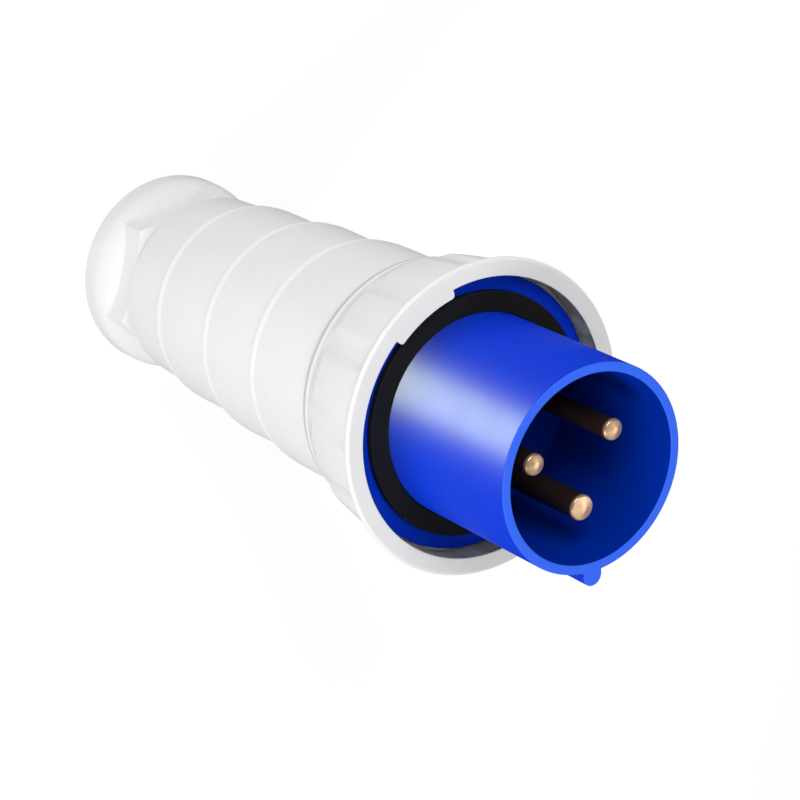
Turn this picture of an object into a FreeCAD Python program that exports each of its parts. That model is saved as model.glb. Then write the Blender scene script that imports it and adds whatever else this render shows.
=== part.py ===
"""Industrial pin and sleeve plug, 63 A size, two poles and earth, watertight pattern.

The plug stands on the flat rear face of its gland nut. +Z runs along its axis towards
the pins, the origin is the centre of that rear face, and the key rib points to -Y.
All lengths are millimetres and all angles are degrees.
"""
import FreeCAD, Part
import math
import os
import Sketcher
from FreeCAD import Placement, Rotation, Vector

# Driving dimensions: name, value, what it is
SIZES = (
    ("total_length", 268.0, "rear face of the gland nut to the mouth of the sleeve"),
    ("running_gap", 0.3, "clearance between pieces that turn or slide past each other"),
    ("hole_gap", 0.1, "clearance of a screw or pin in its hole"),
    ("edge_break", 0.5, "small chamfer on moulded edges"),
    ("overlap", 1.0, "how far joined shapes and cuts reach past each other's faces"),
    ("axis_mark", 10.0, "construction line that an off-centre shape turns about"),
    ("sleeve_outer_r", 35.5, "outside of the blue sleeve"),
    ("sleeve_wall", 3.3, "wall of the blue sleeve"),
    ("sleeve_floor_depth", 58.0, "mouth to the floor that the pins stand on"),
    ("block_thickness", 12.0, "moulded block that holds the pins"),
    ("rib_width", 7.0, "key rib, side to side"),
    ("rib_height", 5.0, "key rib above the sleeve"),
    ("rib_root", 2.0, "how far the key rib is rooted in the sleeve wall"),
    ("crown_slack", 0.01, "by how much the round top of the rib is flatter than a half circle"),
    ("flange_depth", 65.0, "mouth to the front face of the blue flange"),
    ("flange_r", 48.0, "outside of the blue flange"),
    ("flange_thickness", 4.0, "thickness of the blue flange"),
    ("spigot_wall", 3.7, "wall of the spigot that enters the housing"),
    ("spigot_length", 13.0, "length of that spigot behind the flange"),
    ("gasket_width", 6.9, "radial width of the flat face gasket"),
    ("gasket_thickness", 2.6, "thickness of the flat face gasket"),
    ("seal_cord", 2.0, "thickness of the round seal on the spigot"),
    ("seal_offset", 7.5, "flange back to the middle of that seal"),
    ("pin_circle_r", 16.8, "circle that the three pins stand on"),
    ("pin_turn", 8.0, "turn of the pin pattern from the key rib"),
    ("phase_angle", 108.0, "angle from the earth pin to each live pin"),
    ("earth_pin_r", 4.4, "earth pin"),
    ("phase_pin_r", 3.7, "live and neutral pins"),
    ("pin_root_step", 0.6, "how much thicker a pin is inside the block"),
    ("tip_depth", 7.2, "mouth to the end of a pin"),
    ("tip_length", 2.5, "cone at the end of a pin"),
    ("tip_flat_r", 1.3, "blunt end of that cone"),
    ("tip_shoulder_drop", 1.1, "length of the rounded shoulder below the cone"),
    ("tip_shoulder_in", 0.6, "how far that shoulder leads inwards"),
    ("tip_shoulder_r", 1.7, "its rounding"),
    ("collar_r", 8.0, "collar that a pin is held by"),
    ("collar_thickness", 3.0, "thickness of that collar"),
    ("barrel_r", 6.0, "terminal barrel behind a pin"),
    ("barrel_length", 28.0, "length of that barrel"),
    ("barrel_wall", 2.3, "wall of that barrel"),
    ("wire_bore_depth", 18.0, "depth of the hole for the wire"),
    ("drill_cone", 1.5, "length of the cone at the end of that hole"),
    ("terminal_screw_r", 1.9, "terminal screw"),
    ("terminal_screw_reach", 2.0, "how far it stands out of the barrel"),
    ("terminal_screw_first", 5.0, "end of the barrel to the first screw"),
    ("terminal_screw_pitch", 7.0, "first screw to the second"),
    ("slot_width", 0.7, "screwdriver slot"),
    ("slot_depth", 0.9, "depth of that slot"),
    ("pad_width", 3.4, "pressure plate under the terminal screws"),
    ("pad_thickness", 1.0, "its thickness"),
    ("pad_length", 14.0, "its length"),
    ("pad_start", 1.5, "end of the barrel to the pressure plate"),
    ("pad_play", 0.7, "wall of the wire hole to the pressure plate"),
    ("retainer_thickness", 5.0, "plate that traps the pin collars"),
    ("barrier_height", 23.0, "walls between the terminals"),
    ("barrier_thickness", 2.4, "thickness of those walls"),
    ("barrier_end_gap", 1.0, "end of such a wall to the rim of the plate"),
    ("retainer_screw_circle_r", 26.3, "circle of the retainer screws"),
    ("retainer_screw_count", 3, "retainer screws"),
    ("retainer_screw_turn", 35.0, "turn of the first retainer screw"),
    ("retainer_screw_r", 1.5, "shank of a retainer screw"),
    ("retainer_head_r", 2.6, "head of a retainer screw"),
    ("retainer_head_height", 2.2, "height of that head"),
    ("retainer_head_bevel", 0.9, "bevel of that head"),
    ("retainer_screw_grip", 8.0, "depth of that screw in the block"),
    ("thread_end_gap", 0.5, "left below the tip of a screw"),
    ("insert_screw_circle_r", 38.2, "circle of the screws through the flange"),
    ("insert_screw_count", 4, "screws through the flange"),
    ("insert_screw_turn", 45.0, "turn of the first of them"),
    ("insert_screw_r", 1.4, "shank of a flange screw"),
    ("insert_head_r", 2.5, "countersunk head of a flange screw"),
    ("insert_screw_grip", 12.0, "depth of that screw in the housing"),
    ("screw_point_in", 0.9, "taper of its point, inwards"),
    ("screw_point_length", 1.5, "length of that taper"),
    ("ring_face_depth", 57.7, "mouth to the front face of the bayonet ring"),
    ("ring_length", 42.3, "length of the bayonet ring"),
    ("ring_rim_r", 55.3, "largest radius of the bayonet ring"),
    ("ring_rear_r", 45.5, "rear end of the bayonet ring"),
    ("ring_waist_r", 50.6, "where its flared rim begins"),
    ("ring_waist_depth", 7.3, "front face to the start of the flare"),
    ("ring_bulge_r", 200.0, "curve of its outside, front to rear"),
    ("ring_flare_r", 7.0, "hollow curve of its flared rim"),
    ("rim_corner", 1.1, "rounded front corner of the rim"),
    ("rim_under_width", 0.6, "rounding under the rim, inwards"),
    ("rim_under_length", 1.4, "its length"),
    ("rim_under_r", 1.8, "its radius"),
    ("ring_rear_edge", 0.9, "rounded rear edge of the ring"),
    ("ring_bore_gap", 0.6, "flange to the ring's bore"),
    ("ring_mouth_gap", 1.4, "the same at the front face, the bore being tapered"),
    ("ring_bore_step", 0.7, "length of the slope from that bore to the inside of the shell"),
    ("ring_shell_front", 3.0, "wall of the ring behind the flange"),
    ("ring_shell_rear", 1.84, "wall of the ring in front of its rear wall"),
    ("ring_hub_wall", 1.8, "wall of the hub that turns on the housing"),
    ("ring_back_wall", 6.0, "rear wall that joins hub and shell"),
    ("ring_rib_count", 7, "ribs between hub and shell"),
    ("ring_rib_angle", 2.2, "thickness of a rib, as an angle"),
    ("rib_bite", 0.5, "how far a rib reaches into the walls that it joins"),
    ("rib_drop", 0.2, "front end of the hub to a rib"),
    ("ring_travel", 40.0, "turn of the ring between its stops"),
    ("stop_angle", 7.0, "width of the stop block, as an angle"),
    ("stop_turn", -150.0, "place of the stop block"),
    ("stop_slack", 0.4, "angle left at each stop"),
    ("stop_hub_gap", 0.6, "hub of the ring to the stop block"),
    ("stop_height", 2.6, "radial height of the stop block"),
    ("stop_length", 8.0, "stop block behind the flange"),
    ("lug_angle", 30.5, "width of a bayonet lug, as an angle"),
    ("lug_turn", 119.5, "place of the first lug"),
    ("lug_height", 2.5, "lug towards the axis, from the bore"),
    ("lug_thickness", 4.0, "lug along the axis"),
    ("lug_corner_r", 1.2, "rounded inner corners of a lug"),
    ("lug_ramp", 1.6, "how much the back of a lug slopes"),
    ("grip_count", 12, "raised grips round the ring"),
    ("grip_turn", 26.0, "place of the first valley between two grips"),
    ("grip_height", 1.3, "height of a grip above the ring"),
    ("valley_foot_angle", 7.0, "width of a valley at its foot"),
    ("valley_top_angle", 10.5, "width of a valley at its top"),
    ("grip_rear", 9.5, "rear end of the ring to the grips"),
    ("grip_rear_r", 47.4, "radius of the ring there"),
    ("grip_slope", 1.6, "length of the slope at the rear of a grip"),
    ("grip_curve_end", 2.0, "start of the flare to the end of a grip's curve"),
    ("grip_front", 3.2, "start of the flare to the front end of a grip, inside the flare"),
    ("valley_rear_drop", 0.3, "depth of a valley's floor below the ring at its rear end"),
    ("valley_front_rise", 0.2, "height of that floor above the ring's waist at its front end"),
    ("valley_reach", 3.0, "how far the cut of a valley opens above the ring, in grip heights"),
    ("slip_thickness", 1.2, "slip washer in front of the ring's hub"),
    ("slip_width", 1.8, "its radial width"),
    ("neck_r", 40.5, "part of the housing that the ring turns on"),
    ("groove_width", 2.3, "open groove behind the ring"),
    ("ledge_r", 41.7, "ledge in that groove that keeps the ring from sliding back"),
    ("front_bore_r", 34.0, "bore of the housing for the spigot"),
    ("front_bore_depth", 13.5, "depth of that bore"),
    ("cavity_front_r", 36.0, "wiring space, front"),
    ("cavity_rear_r", 32.4, "wiring space, rear"),
    ("cavity_floor", 40.0, "height of the rear end of the wiring space"),
    ("cavity_slope", 3.0, "length of the slope from the front bore to the wiring space"),
    ("funnel_length", 6.0, "slope from the wiring space down to the gland's throat"),
    ("rear_rim_height", 32.0, "height of the housing's rear shoulder"),
    ("rear_rim_r", 35.4, "rear rim of the housing"),
    ("tier_lip", 3.5, "bright sloping lip at the rear of each tier"),
    ("tier_lip_rise", 0.6, "rise of that lip"),
    ("tier_step", 1.6, "length of the slope below the lip"),
    ("tier_bulge_r", 400.0, "barrel curve of each tier"),
    ("tier_1_height", 57.1, "first tier edge"),
    ("tier_1_r", 38.3, "radius there"),
    ("tier_2_height", 93.9, "second tier edge"),
    ("tier_2_r", 40.7, "radius there"),
    ("tier_3_height", 129.5, "third tier edge"),
    ("tier_3_r", 42.7, "radius there"),
    ("tier_1_foot_r", 36.0, "end of the rear tier, below the first edge"),
    ("tier_2_foot_r", 37.4, "end of the first tier"),
    ("tier_3_foot_r", 39.5, "end of the second tier"),
    ("tier_front_r", 42.1, "front end of the third tier"),
    ("gland_thread_r", 28.6, "outside of the gland neck"),
    ("gland_bore_r", 26.0, "bore of the gland neck"),
    ("gland_throat_r", 22.5, "throat between gland and wiring space"),
    ("gland_throat_length", 4.0, "length of that throat"),
    ("gland_neck_length", 18.5, "rear shoulder to the end of the neck"),
    ("thread_bevel", 1.0, "bevel at the end of the neck"),
    ("undercut_length", 2.0, "undercut between the neck and the rear shoulder"),
    ("undercut_depth", 0.8, "its depth"),
    ("nut_length", 27.0, "length of the gland nut"),
    ("nut_flange_r", 37.4, "round flange of the gland nut"),
    ("nut_flange_height", 7.0, "straight part of that flange"),
    ("nut_dome_r", 12.0, "curve from the flange down to the flats"),
    ("nut_dome_end", 18.0, "front end of that curve"),
    ("nut_dome_drop", 1.2, "how far that curve ends inside the flats"),
    ("nut_flats", 62.4, "width across the hexagon"),
    ("nut_turn", 14.0, "turn of the hexagon"),
    ("nut_edge", 1.8, "rounded rear edge of the flange"),
    ("nut_bevel_start", 0.4, "flats to the bevel of the front end"),
    ("nut_bevel_length", 2.4, "length of that bevel at the hexagon's corners"),
    ("nut_lead_in", 1.3, "bevel at the mouth of the nut's thread"),
    ("nut_mouth_r", 17.0, "cable opening of the gland nut"),
    ("nut_back_wall", 4.0, "rear wall of the gland nut"),
    ("thrust_thickness", 1.3, "thrust washer in the nut"),
    ("thrust_r", 22.9, "outside of the thrust washer"),
    ("thrust_bevel", 0.7, "bevel of its bore"),
    ("cage_wall", 4.4, "wall of the clamping cage"),
    ("cage_tip_r", 22.8, "outside of the fingers at their ends"),
    ("cage_cap", 1.5, "inner end wall of the cage"),
    ("cage_cap_r", 17.5, "opening in that wall"),
    ("finger_count", 10, "clamping fingers"),
    ("finger_slit", 2.2, "slit between two fingers"),
    ("finger_length", 11.5, "length of the slits"),
    ("cable_r", 13.0, "bore of the rubber bush"),
    ("bush_recess", 2.0, "finger ends to the end of the bush"),
    ("bush_bevel", 1.0, "bevel of the bush's edges"),
)

document = FreeCAD.newDocument("PinAndSleevePlug")
sheet = document.addObject("Spreadsheet::Sheet", "Sizes")
for row, (alias, value, meaning) in enumerate(SIZES, start=1):
    sheet.set("A%d" % row, meaning)
    sheet.set("B%d" % row, str(value))
    sheet.setAlias("B%d" % row, alias)
document.recompute()


def size(name):
    """The expression that reads one driving dimension."""
    return "Sizes." + name


def number(expression):
    """The present value of an expression."""
    return float(probe.evalExpression(expression))


probe = document.addObject("App::FeaturePython", "Probe")

# Heights worked out from the driving dimensions
MOUTH = size("total_length")
FLOOR = "(Sizes.total_length - Sizes.sleeve_floor_depth)"
BLOCK_BACK = "(%s - Sizes.block_thickness)" % FLOOR
FLANGE_FRONT = "(Sizes.total_length - Sizes.flange_depth)"
FLANGE_BACK = "(%s - Sizes.flange_thickness)" % FLANGE_FRONT
SPIGOT_END = "(%s - Sizes.spigot_length)" % FLANGE_BACK
SEAL_MIDDLE = "(%s - Sizes.seal_offset)" % FLANGE_BACK
RETAINER_BACK = "(%s - Sizes.retainer_thickness)" % BLOCK_BACK
BARREL_END = "(%s - Sizes.barrel_length)" % BLOCK_BACK
RING_FACE = "(Sizes.total_length - Sizes.ring_face_depth)"
RING_REAR = "(%s - Sizes.ring_length)" % RING_FACE
RING_WAIST = "(%s - Sizes.ring_waist_depth)" % RING_FACE
SLIP_BACK = "(%s - Sizes.slip_thickness)" % FLANGE_BACK
HUB_FRONT = "(%s - Sizes.running_gap)" % SLIP_BACK
GROOVE_REAR = "(%s - Sizes.groove_width)" % RING_REAR
LEDGE = "(%s - Sizes.running_gap)" % RING_REAR
NECK_END = "(Sizes.rear_rim_height - Sizes.gland_neck_length)"
THROAT_FRONT = "(Sizes.cavity_floor - Sizes.funnel_length)"
THROAT_REAR = "(%s - Sizes.gland_throat_length)" % THROAT_FRONT
FINGER_TIP = "(Sizes.nut_back_wall + Sizes.thrust_thickness + Sizes.running_gap)"

# Radii worked out from the driving dimensions
SLEEVE_BORE = "(Sizes.sleeve_outer_r - Sizes.sleeve_wall)"
GASKET_BORE = "(Sizes.sleeve_outer_r + Sizes.running_gap)"
GASKET_R = "(%s + Sizes.gasket_width)" % GASKET_BORE
SPIGOT_R = "(Sizes.front_bore_r - Sizes.running_gap)"
SPIGOT_BORE = "(%s - Sizes.spigot_wall)" % SPIGOT_R
SEAL_GROOVE = "(Sizes.front_bore_r - Sizes.hole_gap - Sizes.seal_cord - Sizes.hole_gap)"
HUB_BORE = "(Sizes.neck_r + Sizes.running_gap)"
HUB_R = "(%s + Sizes.ring_hub_wall)" % HUB_BORE
RING_BORE = "(Sizes.flange_r + Sizes.ring_bore_gap)"
RING_MOUTH = "(Sizes.flange_r + Sizes.ring_mouth_gap)"
LUG_R = "(%s - Sizes.lug_height)" % RING_BORE
SHELL_FRONT_R = "(Sizes.ring_waist_r - Sizes.ring_shell_front)"
SHELL_REAR_R = "(Sizes.ring_rear_r - Sizes.ring_shell_rear)"
CAGE_R = "(Sizes.gland_bore_r - Sizes.running_gap)"
CAGE_BORE = "(%s - Sizes.cage_wall)" % CAGE_R
NUT_BORE = "(Sizes.gland_thread_r + Sizes.running_gap)"


def new_body(name):
    """A body whose label names the piece."""
    body = document.addObject("PartDesign::Body", name)
    body.Label = name
    body.AllowCompound = True
    return body


def origin_plane(body, role):
    """One of the body's own origin planes or axes."""
    for feature in body.Origin.OriginFeatures:
        if feature.Role == role:
            return feature
    raise ValueError(role)


def new_sketch(body, name, role, lift="0", turn="0"):
    """A sketch on an origin plane, lifted off it and turned about the plug's axis."""
    sketch = body.newObject("Sketcher::SketchObject", name)
    sketch.AttachmentSupport = [(origin_plane(body, role), "")]
    sketch.MapMode = "FlatFace"
    turning_axis = Vector(0, 0, 1) if role == "XY_Plane" else Vector(0, 1, 0)
    sketch.AttachmentOffset = Placement(Vector(0, 0, 0), Rotation(turning_axis, number(turn)))
    if turn != "0":
        sketch.setExpression("AttachmentOffset.Rotation.Angle", turn)
    if lift != "0":
        sketch.setExpression("AttachmentOffset.Base.z", lift)
    return sketch


def pin_down(sketch, piece, end, across, along):
    """Hold one end of a line or arc at a place given by two expressions."""
    if across == "0":
        sketch.addConstraint(Sketcher.Constraint("PointOnObject", piece, end, -2))
    else:
        held = sketch.addConstraint(
            Sketcher.Constraint("DistanceX", -1, 1, piece, end, number(across)))
        sketch.setExpression("Constraints[%d]" % held, across)
    if along == "0":
        sketch.addConstraint(Sketcher.Constraint("PointOnObject", piece, end, -1))
    else:
        held = sketch.addConstraint(
            Sketcher.Constraint("DistanceY", -1, 1, piece, end, number(along)))
        sketch.setExpression("Constraints[%d]" % held, along)


def arc_between(start, end, radius, bulge):
    """The arc of a given radius from start to end; bulge +1 lies left of the chord."""
    chord = end - start
    half = chord.Length / 2
    rise = math.sqrt(max(radius ** 2 - half ** 2, 0.0))
    left = Vector(-chord.y, chord.x, 0).normalize()
    centre = (start + end) * 0.5 - left * (bulge * rise)
    middle = centre + left * (bulge * radius)
    return Part.Arc(start, middle, end)


def outline(sketch, corners):
    """A closed outline. A corner is (across, along), or with (radius, bulge) after it
    where an arc of that radius arrives at the corner."""
    places = [Vector(number(corner[0]), number(corner[1]), 0) for corner in corners]
    count = len(corners)
    ends = []
    for index in range(count):
        following = (index + 1) % count
        target = corners[following]
        if len(target) == 2:
            piece = sketch.addGeometry(Part.LineSegment(places[index], places[following]), False)
            ends.append((piece, 1, 2))
            continue
        arc = arc_between(places[index], places[following], number(target[2]), target[3])
        piece = sketch.addGeometry(arc, False)
        begins = sketch.getPoint(piece, 1).distanceToPoint(places[index]) < 1e-6
        ends.append((piece, 1, 2) if begins else (piece, 2, 1))
        held = sketch.addConstraint(Sketcher.Constraint("Radius", piece, number(target[2])))
        sketch.setExpression("Constraints[%d]" % held, target[2])
    for index in range(count):
        piece, start, finish = ends[index]
        following, following_start, _ = ends[(index + 1) % count]
        sketch.addConstraint(
            Sketcher.Constraint("Coincident", piece, finish, following, following_start))
        pin_down(sketch, piece, start, corners[index][0], corners[index][1])
    return sketch


def circle(sketch, across, along, radius):
    """A full circle in a sketch."""
    centre = Vector(number(across), number(along), 0)
    piece = sketch.addGeometry(Part.Circle(centre, Vector(0, 0, 1), number(radius)), False)
    held = sketch.addConstraint(Sketcher.Constraint("Radius", piece, number(radius)))
    sketch.setExpression("Constraints[%d]" % held, radius)
    pin_down(sketch, piece, 3, across, along)
    return sketch


def turning_line(sketch, axis_at):
    """The sketch's own upright axis, or a construction line at a distance from it."""
    if axis_at is None:
        return sketch, ["V_Axis"]
    foot = Vector(number(axis_at), 0, 0)
    line = Part.LineSegment(foot, foot + Vector(0, number(size("axis_mark")), 0))
    piece = sketch.addGeometry(line, True)
    pin_down(sketch, piece, 1, axis_at, "0")
    pin_down(sketch, piece, 2, axis_at, size("axis_mark"))
    return sketch, ["Axis0"]


def revolve(body, name, corners, angle="360", turn="0", axis_at=None):
    """Turn an outline of (radius, height) corners about the axis, or about a line beside it."""
    sketch = new_sketch(body, name + "_outline", "XZ_Plane", turn=turn)
    outline(sketch, corners)
    feature = body.newObject("PartDesign::Revolution", name)
    feature.Profile = sketch
    feature.ReferenceAxis = turning_line(sketch, axis_at)
    if angle != "360":
        feature.setExpression("Angle", angle)
        feature.Midplane = True
    document.recompute()
    return feature


def groove(body, name, corners, turn="0", axis_at=None):
    """Cut an outline turned about the axis, or about a line beside it."""
    before = body.Shape.Volume
    sketch = new_sketch(body, name + "_outline", "XZ_Plane", turn=turn)
    outline(sketch, corners)
    feature = body.newObject("PartDesign::Groove", name)
    feature.Profile = sketch
    feature.ReferenceAxis = turning_line(sketch, axis_at)
    document.recompute()
    must_shrink(body, name, before)
    return feature


def pad(body, name, sketch, length):
    """Extrude a sketch along its normal."""
    feature = body.newObject("PartDesign::Pad", name)
    feature.Profile = sketch
    feature.Length = number(length)
    feature.setExpression("Length", length)
    document.recompute()
    return feature


def pocket(body, name, sketch, length, backwards=False):
    """Cut a sketch into the body; backwards cuts along the sketch's own normal."""
    before = body.Shape.Volume
    feature = body.newObject("PartDesign::Pocket", name)
    feature.Profile = sketch
    feature.Length = number(length)
    feature.setExpression("Length", length)
    feature.Reversed = backwards
    document.recompute()
    must_shrink(body, name, before)
    return feature


def must_shrink(body, name, before):
    """A cut that removes nothing is a mistake in its direction."""
    if body.Shape.Volume >= before - 1e-3:
        raise RuntimeError("the cut %s removes nothing" % name)


def repeat(body, name, features, count, angle="360"):
    """Repeat features round the plug's axis."""
    pattern = body.newObject("PartDesign::PolarPattern", name)
    pattern.Originals = features
    pattern.Axis = (origin_plane(body, "Z_Axis"), [""])
    pattern.Angle = number(angle)
    pattern.setExpression("Angle", angle)
    pattern.Occurrences = int(round(number(count)))
    pattern.setExpression("Occurrences", count)
    body.Tip = pattern
    document.recompute()
    return pattern


def edges_where(feature, test):
    """Names of the edges of a feature that pass a test."""
    return ["Edge%d" % (index + 1)
            for index, edge in enumerate(feature.Shape.Edges) if test(edge)]


def round_edges(body, name, feature, edges, radius):
    """Round chosen edges of the last feature."""
    fillet = body.newObject("PartDesign::Fillet", name)
    fillet.Base = (feature, edges)
    fillet.Radius = number(radius)
    fillet.setExpression("Radius", radius)
    document.recompute()
    return fillet


def polar(radius, angle):
    """Expressions for the two coordinates of a place on a circle."""
    return "(%s * cos(%s))" % (radius, angle), "(%s * sin(%s))" % (radius, angle)


# Where the three pins stand, and their sizes
EARTH_ANGLE = "(-90 + Sizes.pin_turn)"
LIVE_ANGLE = "(-90 + Sizes.pin_turn + Sizes.phase_angle)"
NEUTRAL_ANGLE = "(-90 + Sizes.pin_turn - Sizes.phase_angle)"
PINS = (
    ("earth", EARTH_ANGLE, size("earth_pin_r")),
    ("live", LIVE_ANGLE, size("phase_pin_r")),
    ("neutral", NEUTRAL_ANGLE, size("phase_pin_r")),
)


def make_contact_sleeve():
    """Blue moulding: sleeve, floor, flange, spigot, key rib and ring stop."""
    body = new_body("contact_sleeve")
    revolve(body, "sleeve", [
        ("0", BLOCK_BACK),
        (SPIGOT_BORE, BLOCK_BACK),
        (SPIGOT_BORE, SPIGOT_END),
        ("(%s - Sizes.edge_break)" % SPIGOT_R, SPIGOT_END),
        (SPIGOT_R, "(%s + Sizes.edge_break)" % SPIGOT_END),
        (SPIGOT_R, "(%s - Sizes.seal_cord / 2 - Sizes.hole_gap)" % SEAL_MIDDLE),
        (SEAL_GROOVE, "(%s - Sizes.seal_cord / 2 - Sizes.hole_gap)" % SEAL_MIDDLE),
        (SEAL_GROOVE, "(%s + Sizes.seal_cord / 2 + Sizes.hole_gap)" % SEAL_MIDDLE),
        (SPIGOT_R, "(%s + Sizes.seal_cord / 2 + Sizes.hole_gap)" % SEAL_MIDDLE),
        (SPIGOT_R, FLANGE_BACK),
        (size("flange_r"), FLANGE_BACK),
        (size("flange_r"), "(%s - Sizes.edge_break)" % FLANGE_FRONT),
        ("(Sizes.flange_r - Sizes.edge_break)", FLANGE_FRONT, size("edge_break"), -1),
        (size("sleeve_outer_r"), FLANGE_FRONT),
        (size("sleeve_outer_r"), "(%s - Sizes.edge_break)" % MOUTH),
        ("(Sizes.sleeve_outer_r - Sizes.edge_break)", MOUTH, size("edge_break"), -1),
        ("(%s + Sizes.edge_break)" % SLEEVE_BORE, MOUTH),
        (SLEEVE_BORE, "(%s - Sizes.edge_break)" % MOUTH, size("edge_break"), -1),
        (SLEEVE_BORE, FLOOR),
        ("0", FLOOR),
    ])
    rib = new_sketch(body, "rib_outline", "XY_Plane", lift="(%s - Sizes.edge_break)" % FLANGE_FRONT)
    rib_root = "(-Sizes.sleeve_outer_r + Sizes.rib_root)"
    rib_shoulder = "(-Sizes.sleeve_outer_r - Sizes.rib_height + Sizes.rib_width / 2)"
    outline(rib, [
        ("(-Sizes.rib_width / 2)", rib_root),
        ("(-Sizes.rib_width / 2)", rib_shoulder),
        ("(Sizes.rib_width / 2)", rib_shoulder, "(Sizes.rib_width / 2 + Sizes.crown_slack)", 1),
        ("(Sizes.rib_width / 2)", rib_root),
    ])
    pad(body, "key_rib", rib, "(Sizes.flange_depth + Sizes.edge_break)")
    stop_inner = "(%s + Sizes.stop_hub_gap)" % HUB_R
    stop_outer = "(%s + Sizes.stop_height)" % stop_inner
    revolve(body, "ring_stop", [
        (stop_inner, "(%s - Sizes.stop_length)" % FLANGE_BACK),
        (stop_outer, "(%s - Sizes.stop_length)" % FLANGE_BACK),
        (stop_outer, "(%s + Sizes.overlap)" % FLANGE_BACK),
        (stop_inner, "(%s + Sizes.overlap)" % FLANGE_BACK),
    ], angle=size("stop_angle"), turn=size("stop_turn"))
    for name, angle, radius in PINS:
        across, along = polar(size("pin_circle_r"), angle)
        seat = new_sketch(body, name + "_seat_outline", "XY_Plane", lift=BLOCK_BACK)
        circle(seat, across, along, "(Sizes.collar_r + Sizes.hole_gap)")
        pocket(body, name + "_seat", seat, size("collar_thickness"), backwards=True)
        hole = new_sketch(body, name + "_hole_outline", "XY_Plane", lift=BLOCK_BACK)
        circle(hole, across, along, "(%s + Sizes.pin_root_step + Sizes.hole_gap)" % radius)
        pocket(body, name + "_hole", hole, "(Sizes.block_thickness + Sizes.overlap)", backwards=True)
    bore = new_sketch(body, "retainer_thread_outline", "XY_Plane",
                      lift=BLOCK_BACK, turn=size("retainer_screw_turn"))
    circle(bore, size("retainer_screw_circle_r"), "0", "(Sizes.retainer_screw_r + Sizes.hole_gap)")
    thread = pocket(body, "retainer_thread", bore,
                    "(Sizes.retainer_screw_grip + Sizes.thread_end_gap)", backwards=True)
    repeat(body, "retainer_threads", [thread], size("retainer_screw_count"))
    sink = countersink_cut(body)
    repeat(body, "flange_holes", [sink], size("insert_screw_count"))
    return body


def countersink_cut(body):
    """One countersunk hole through the flange, cut round its own axis."""
    centre = size("insert_screw_circle_r")
    shank = "(Sizes.insert_screw_circle_r + Sizes.insert_screw_r + Sizes.hole_gap)"
    head = "(Sizes.insert_screw_circle_r + Sizes.insert_head_r + Sizes.hole_gap)"
    depth = "(Sizes.insert_head_r - Sizes.insert_screw_r)"
    return groove(body, "flange_hole", [
        (centre, "(%s - Sizes.overlap)" % FLANGE_BACK),
        (shank, "(%s - Sizes.overlap)" % FLANGE_BACK),
        (shank, "(%s - Sizes.hole_gap - %s)" % (FLANGE_FRONT, depth)),
        (head, "(%s - Sizes.hole_gap)" % FLANGE_FRONT),
        (head, "(%s + Sizes.overlap)" % FLANGE_FRONT),
        (centre, "(%s + Sizes.overlap)" % FLANGE_FRONT),
    ], turn=size("insert_screw_turn"), axis_at=centre)


def make_insert_screws():
    """Countersunk screws through the flange into the housing."""
    body = new_body("insert_screws")
    centre = size("insert_screw_circle_r")
    shank = "(Sizes.insert_screw_circle_r + Sizes.insert_screw_r)"
    head = "(Sizes.insert_screw_circle_r + Sizes.insert_head_r)"
    depth = "(Sizes.insert_head_r - Sizes.insert_screw_r)"
    top = "(%s - Sizes.hole_gap)" % FLANGE_FRONT
    tip = "(%s - Sizes.insert_screw_grip)" % FLANGE_BACK
    screw = revolve(body, "insert_screw", [
        (centre, tip),
        ("(%s - Sizes.screw_point_in)" % shank, tip),
        (shank, "(%s + Sizes.screw_point_length)" % tip),
        (shank, "(%s - %s)" % (top, depth)),
        (head, top),
        (centre, top),
    ], turn=size("insert_screw_turn"), axis_at=centre)
    repeat(body, "insert_screw_set", [screw], size("insert_screw_count"))
    return body


def make_face_gasket():
    """Flat rubber gasket on the flange, notched for the key rib."""
    body = new_body("face_gasket")
    face = "(%s + Sizes.gasket_thickness)" % FLANGE_FRONT
    revolve(body, "gasket", [
        (GASKET_BORE, FLANGE_FRONT),
        (GASKET_R, FLANGE_FRONT),
        (GASKET_R, "(%s - Sizes.edge_break)" % face),
        ("(%s - Sizes.edge_break)" % GASKET_R, face, size("edge_break"), -1),
        (GASKET_BORE, face),
    ])
    notch = new_sketch(body, "rib_notch_outline", "XY_Plane", lift=FLANGE_FRONT)
    side = "(Sizes.rib_width / 2 + Sizes.running_gap)"
    inner = "(-Sizes.sleeve_outer_r + Sizes.rib_root)"
    outer = "(-Sizes.sleeve_outer_r - Sizes.rib_height - Sizes.running_gap)"
    outline(notch, [
        ("(-%s)" % side, inner),
        ("(-%s)" % side, outer),
        (side, outer),
        (side, inner),
    ])
    pocket(body, "rib_notch", notch, "(Sizes.gasket_thickness + Sizes.overlap)", backwards=True)
    return body


def make_insert_seal():
    """Round rubber seal between spigot and housing."""
    body = new_body("insert_seal")
    section = new_sketch(body, "seal_ring_outline", "XZ_Plane")
    middle = "(Sizes.front_bore_r - Sizes.hole_gap - Sizes.seal_cord / 2)"
    circle(section, middle, SEAL_MIDDLE, "(Sizes.seal_cord / 2)")
    feature = body.newObject("PartDesign::Revolution", "seal_ring")
    feature.Profile = section
    feature.ReferenceAxis = (section, ["V_Axis"])
    document.recompute()
    return body


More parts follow.
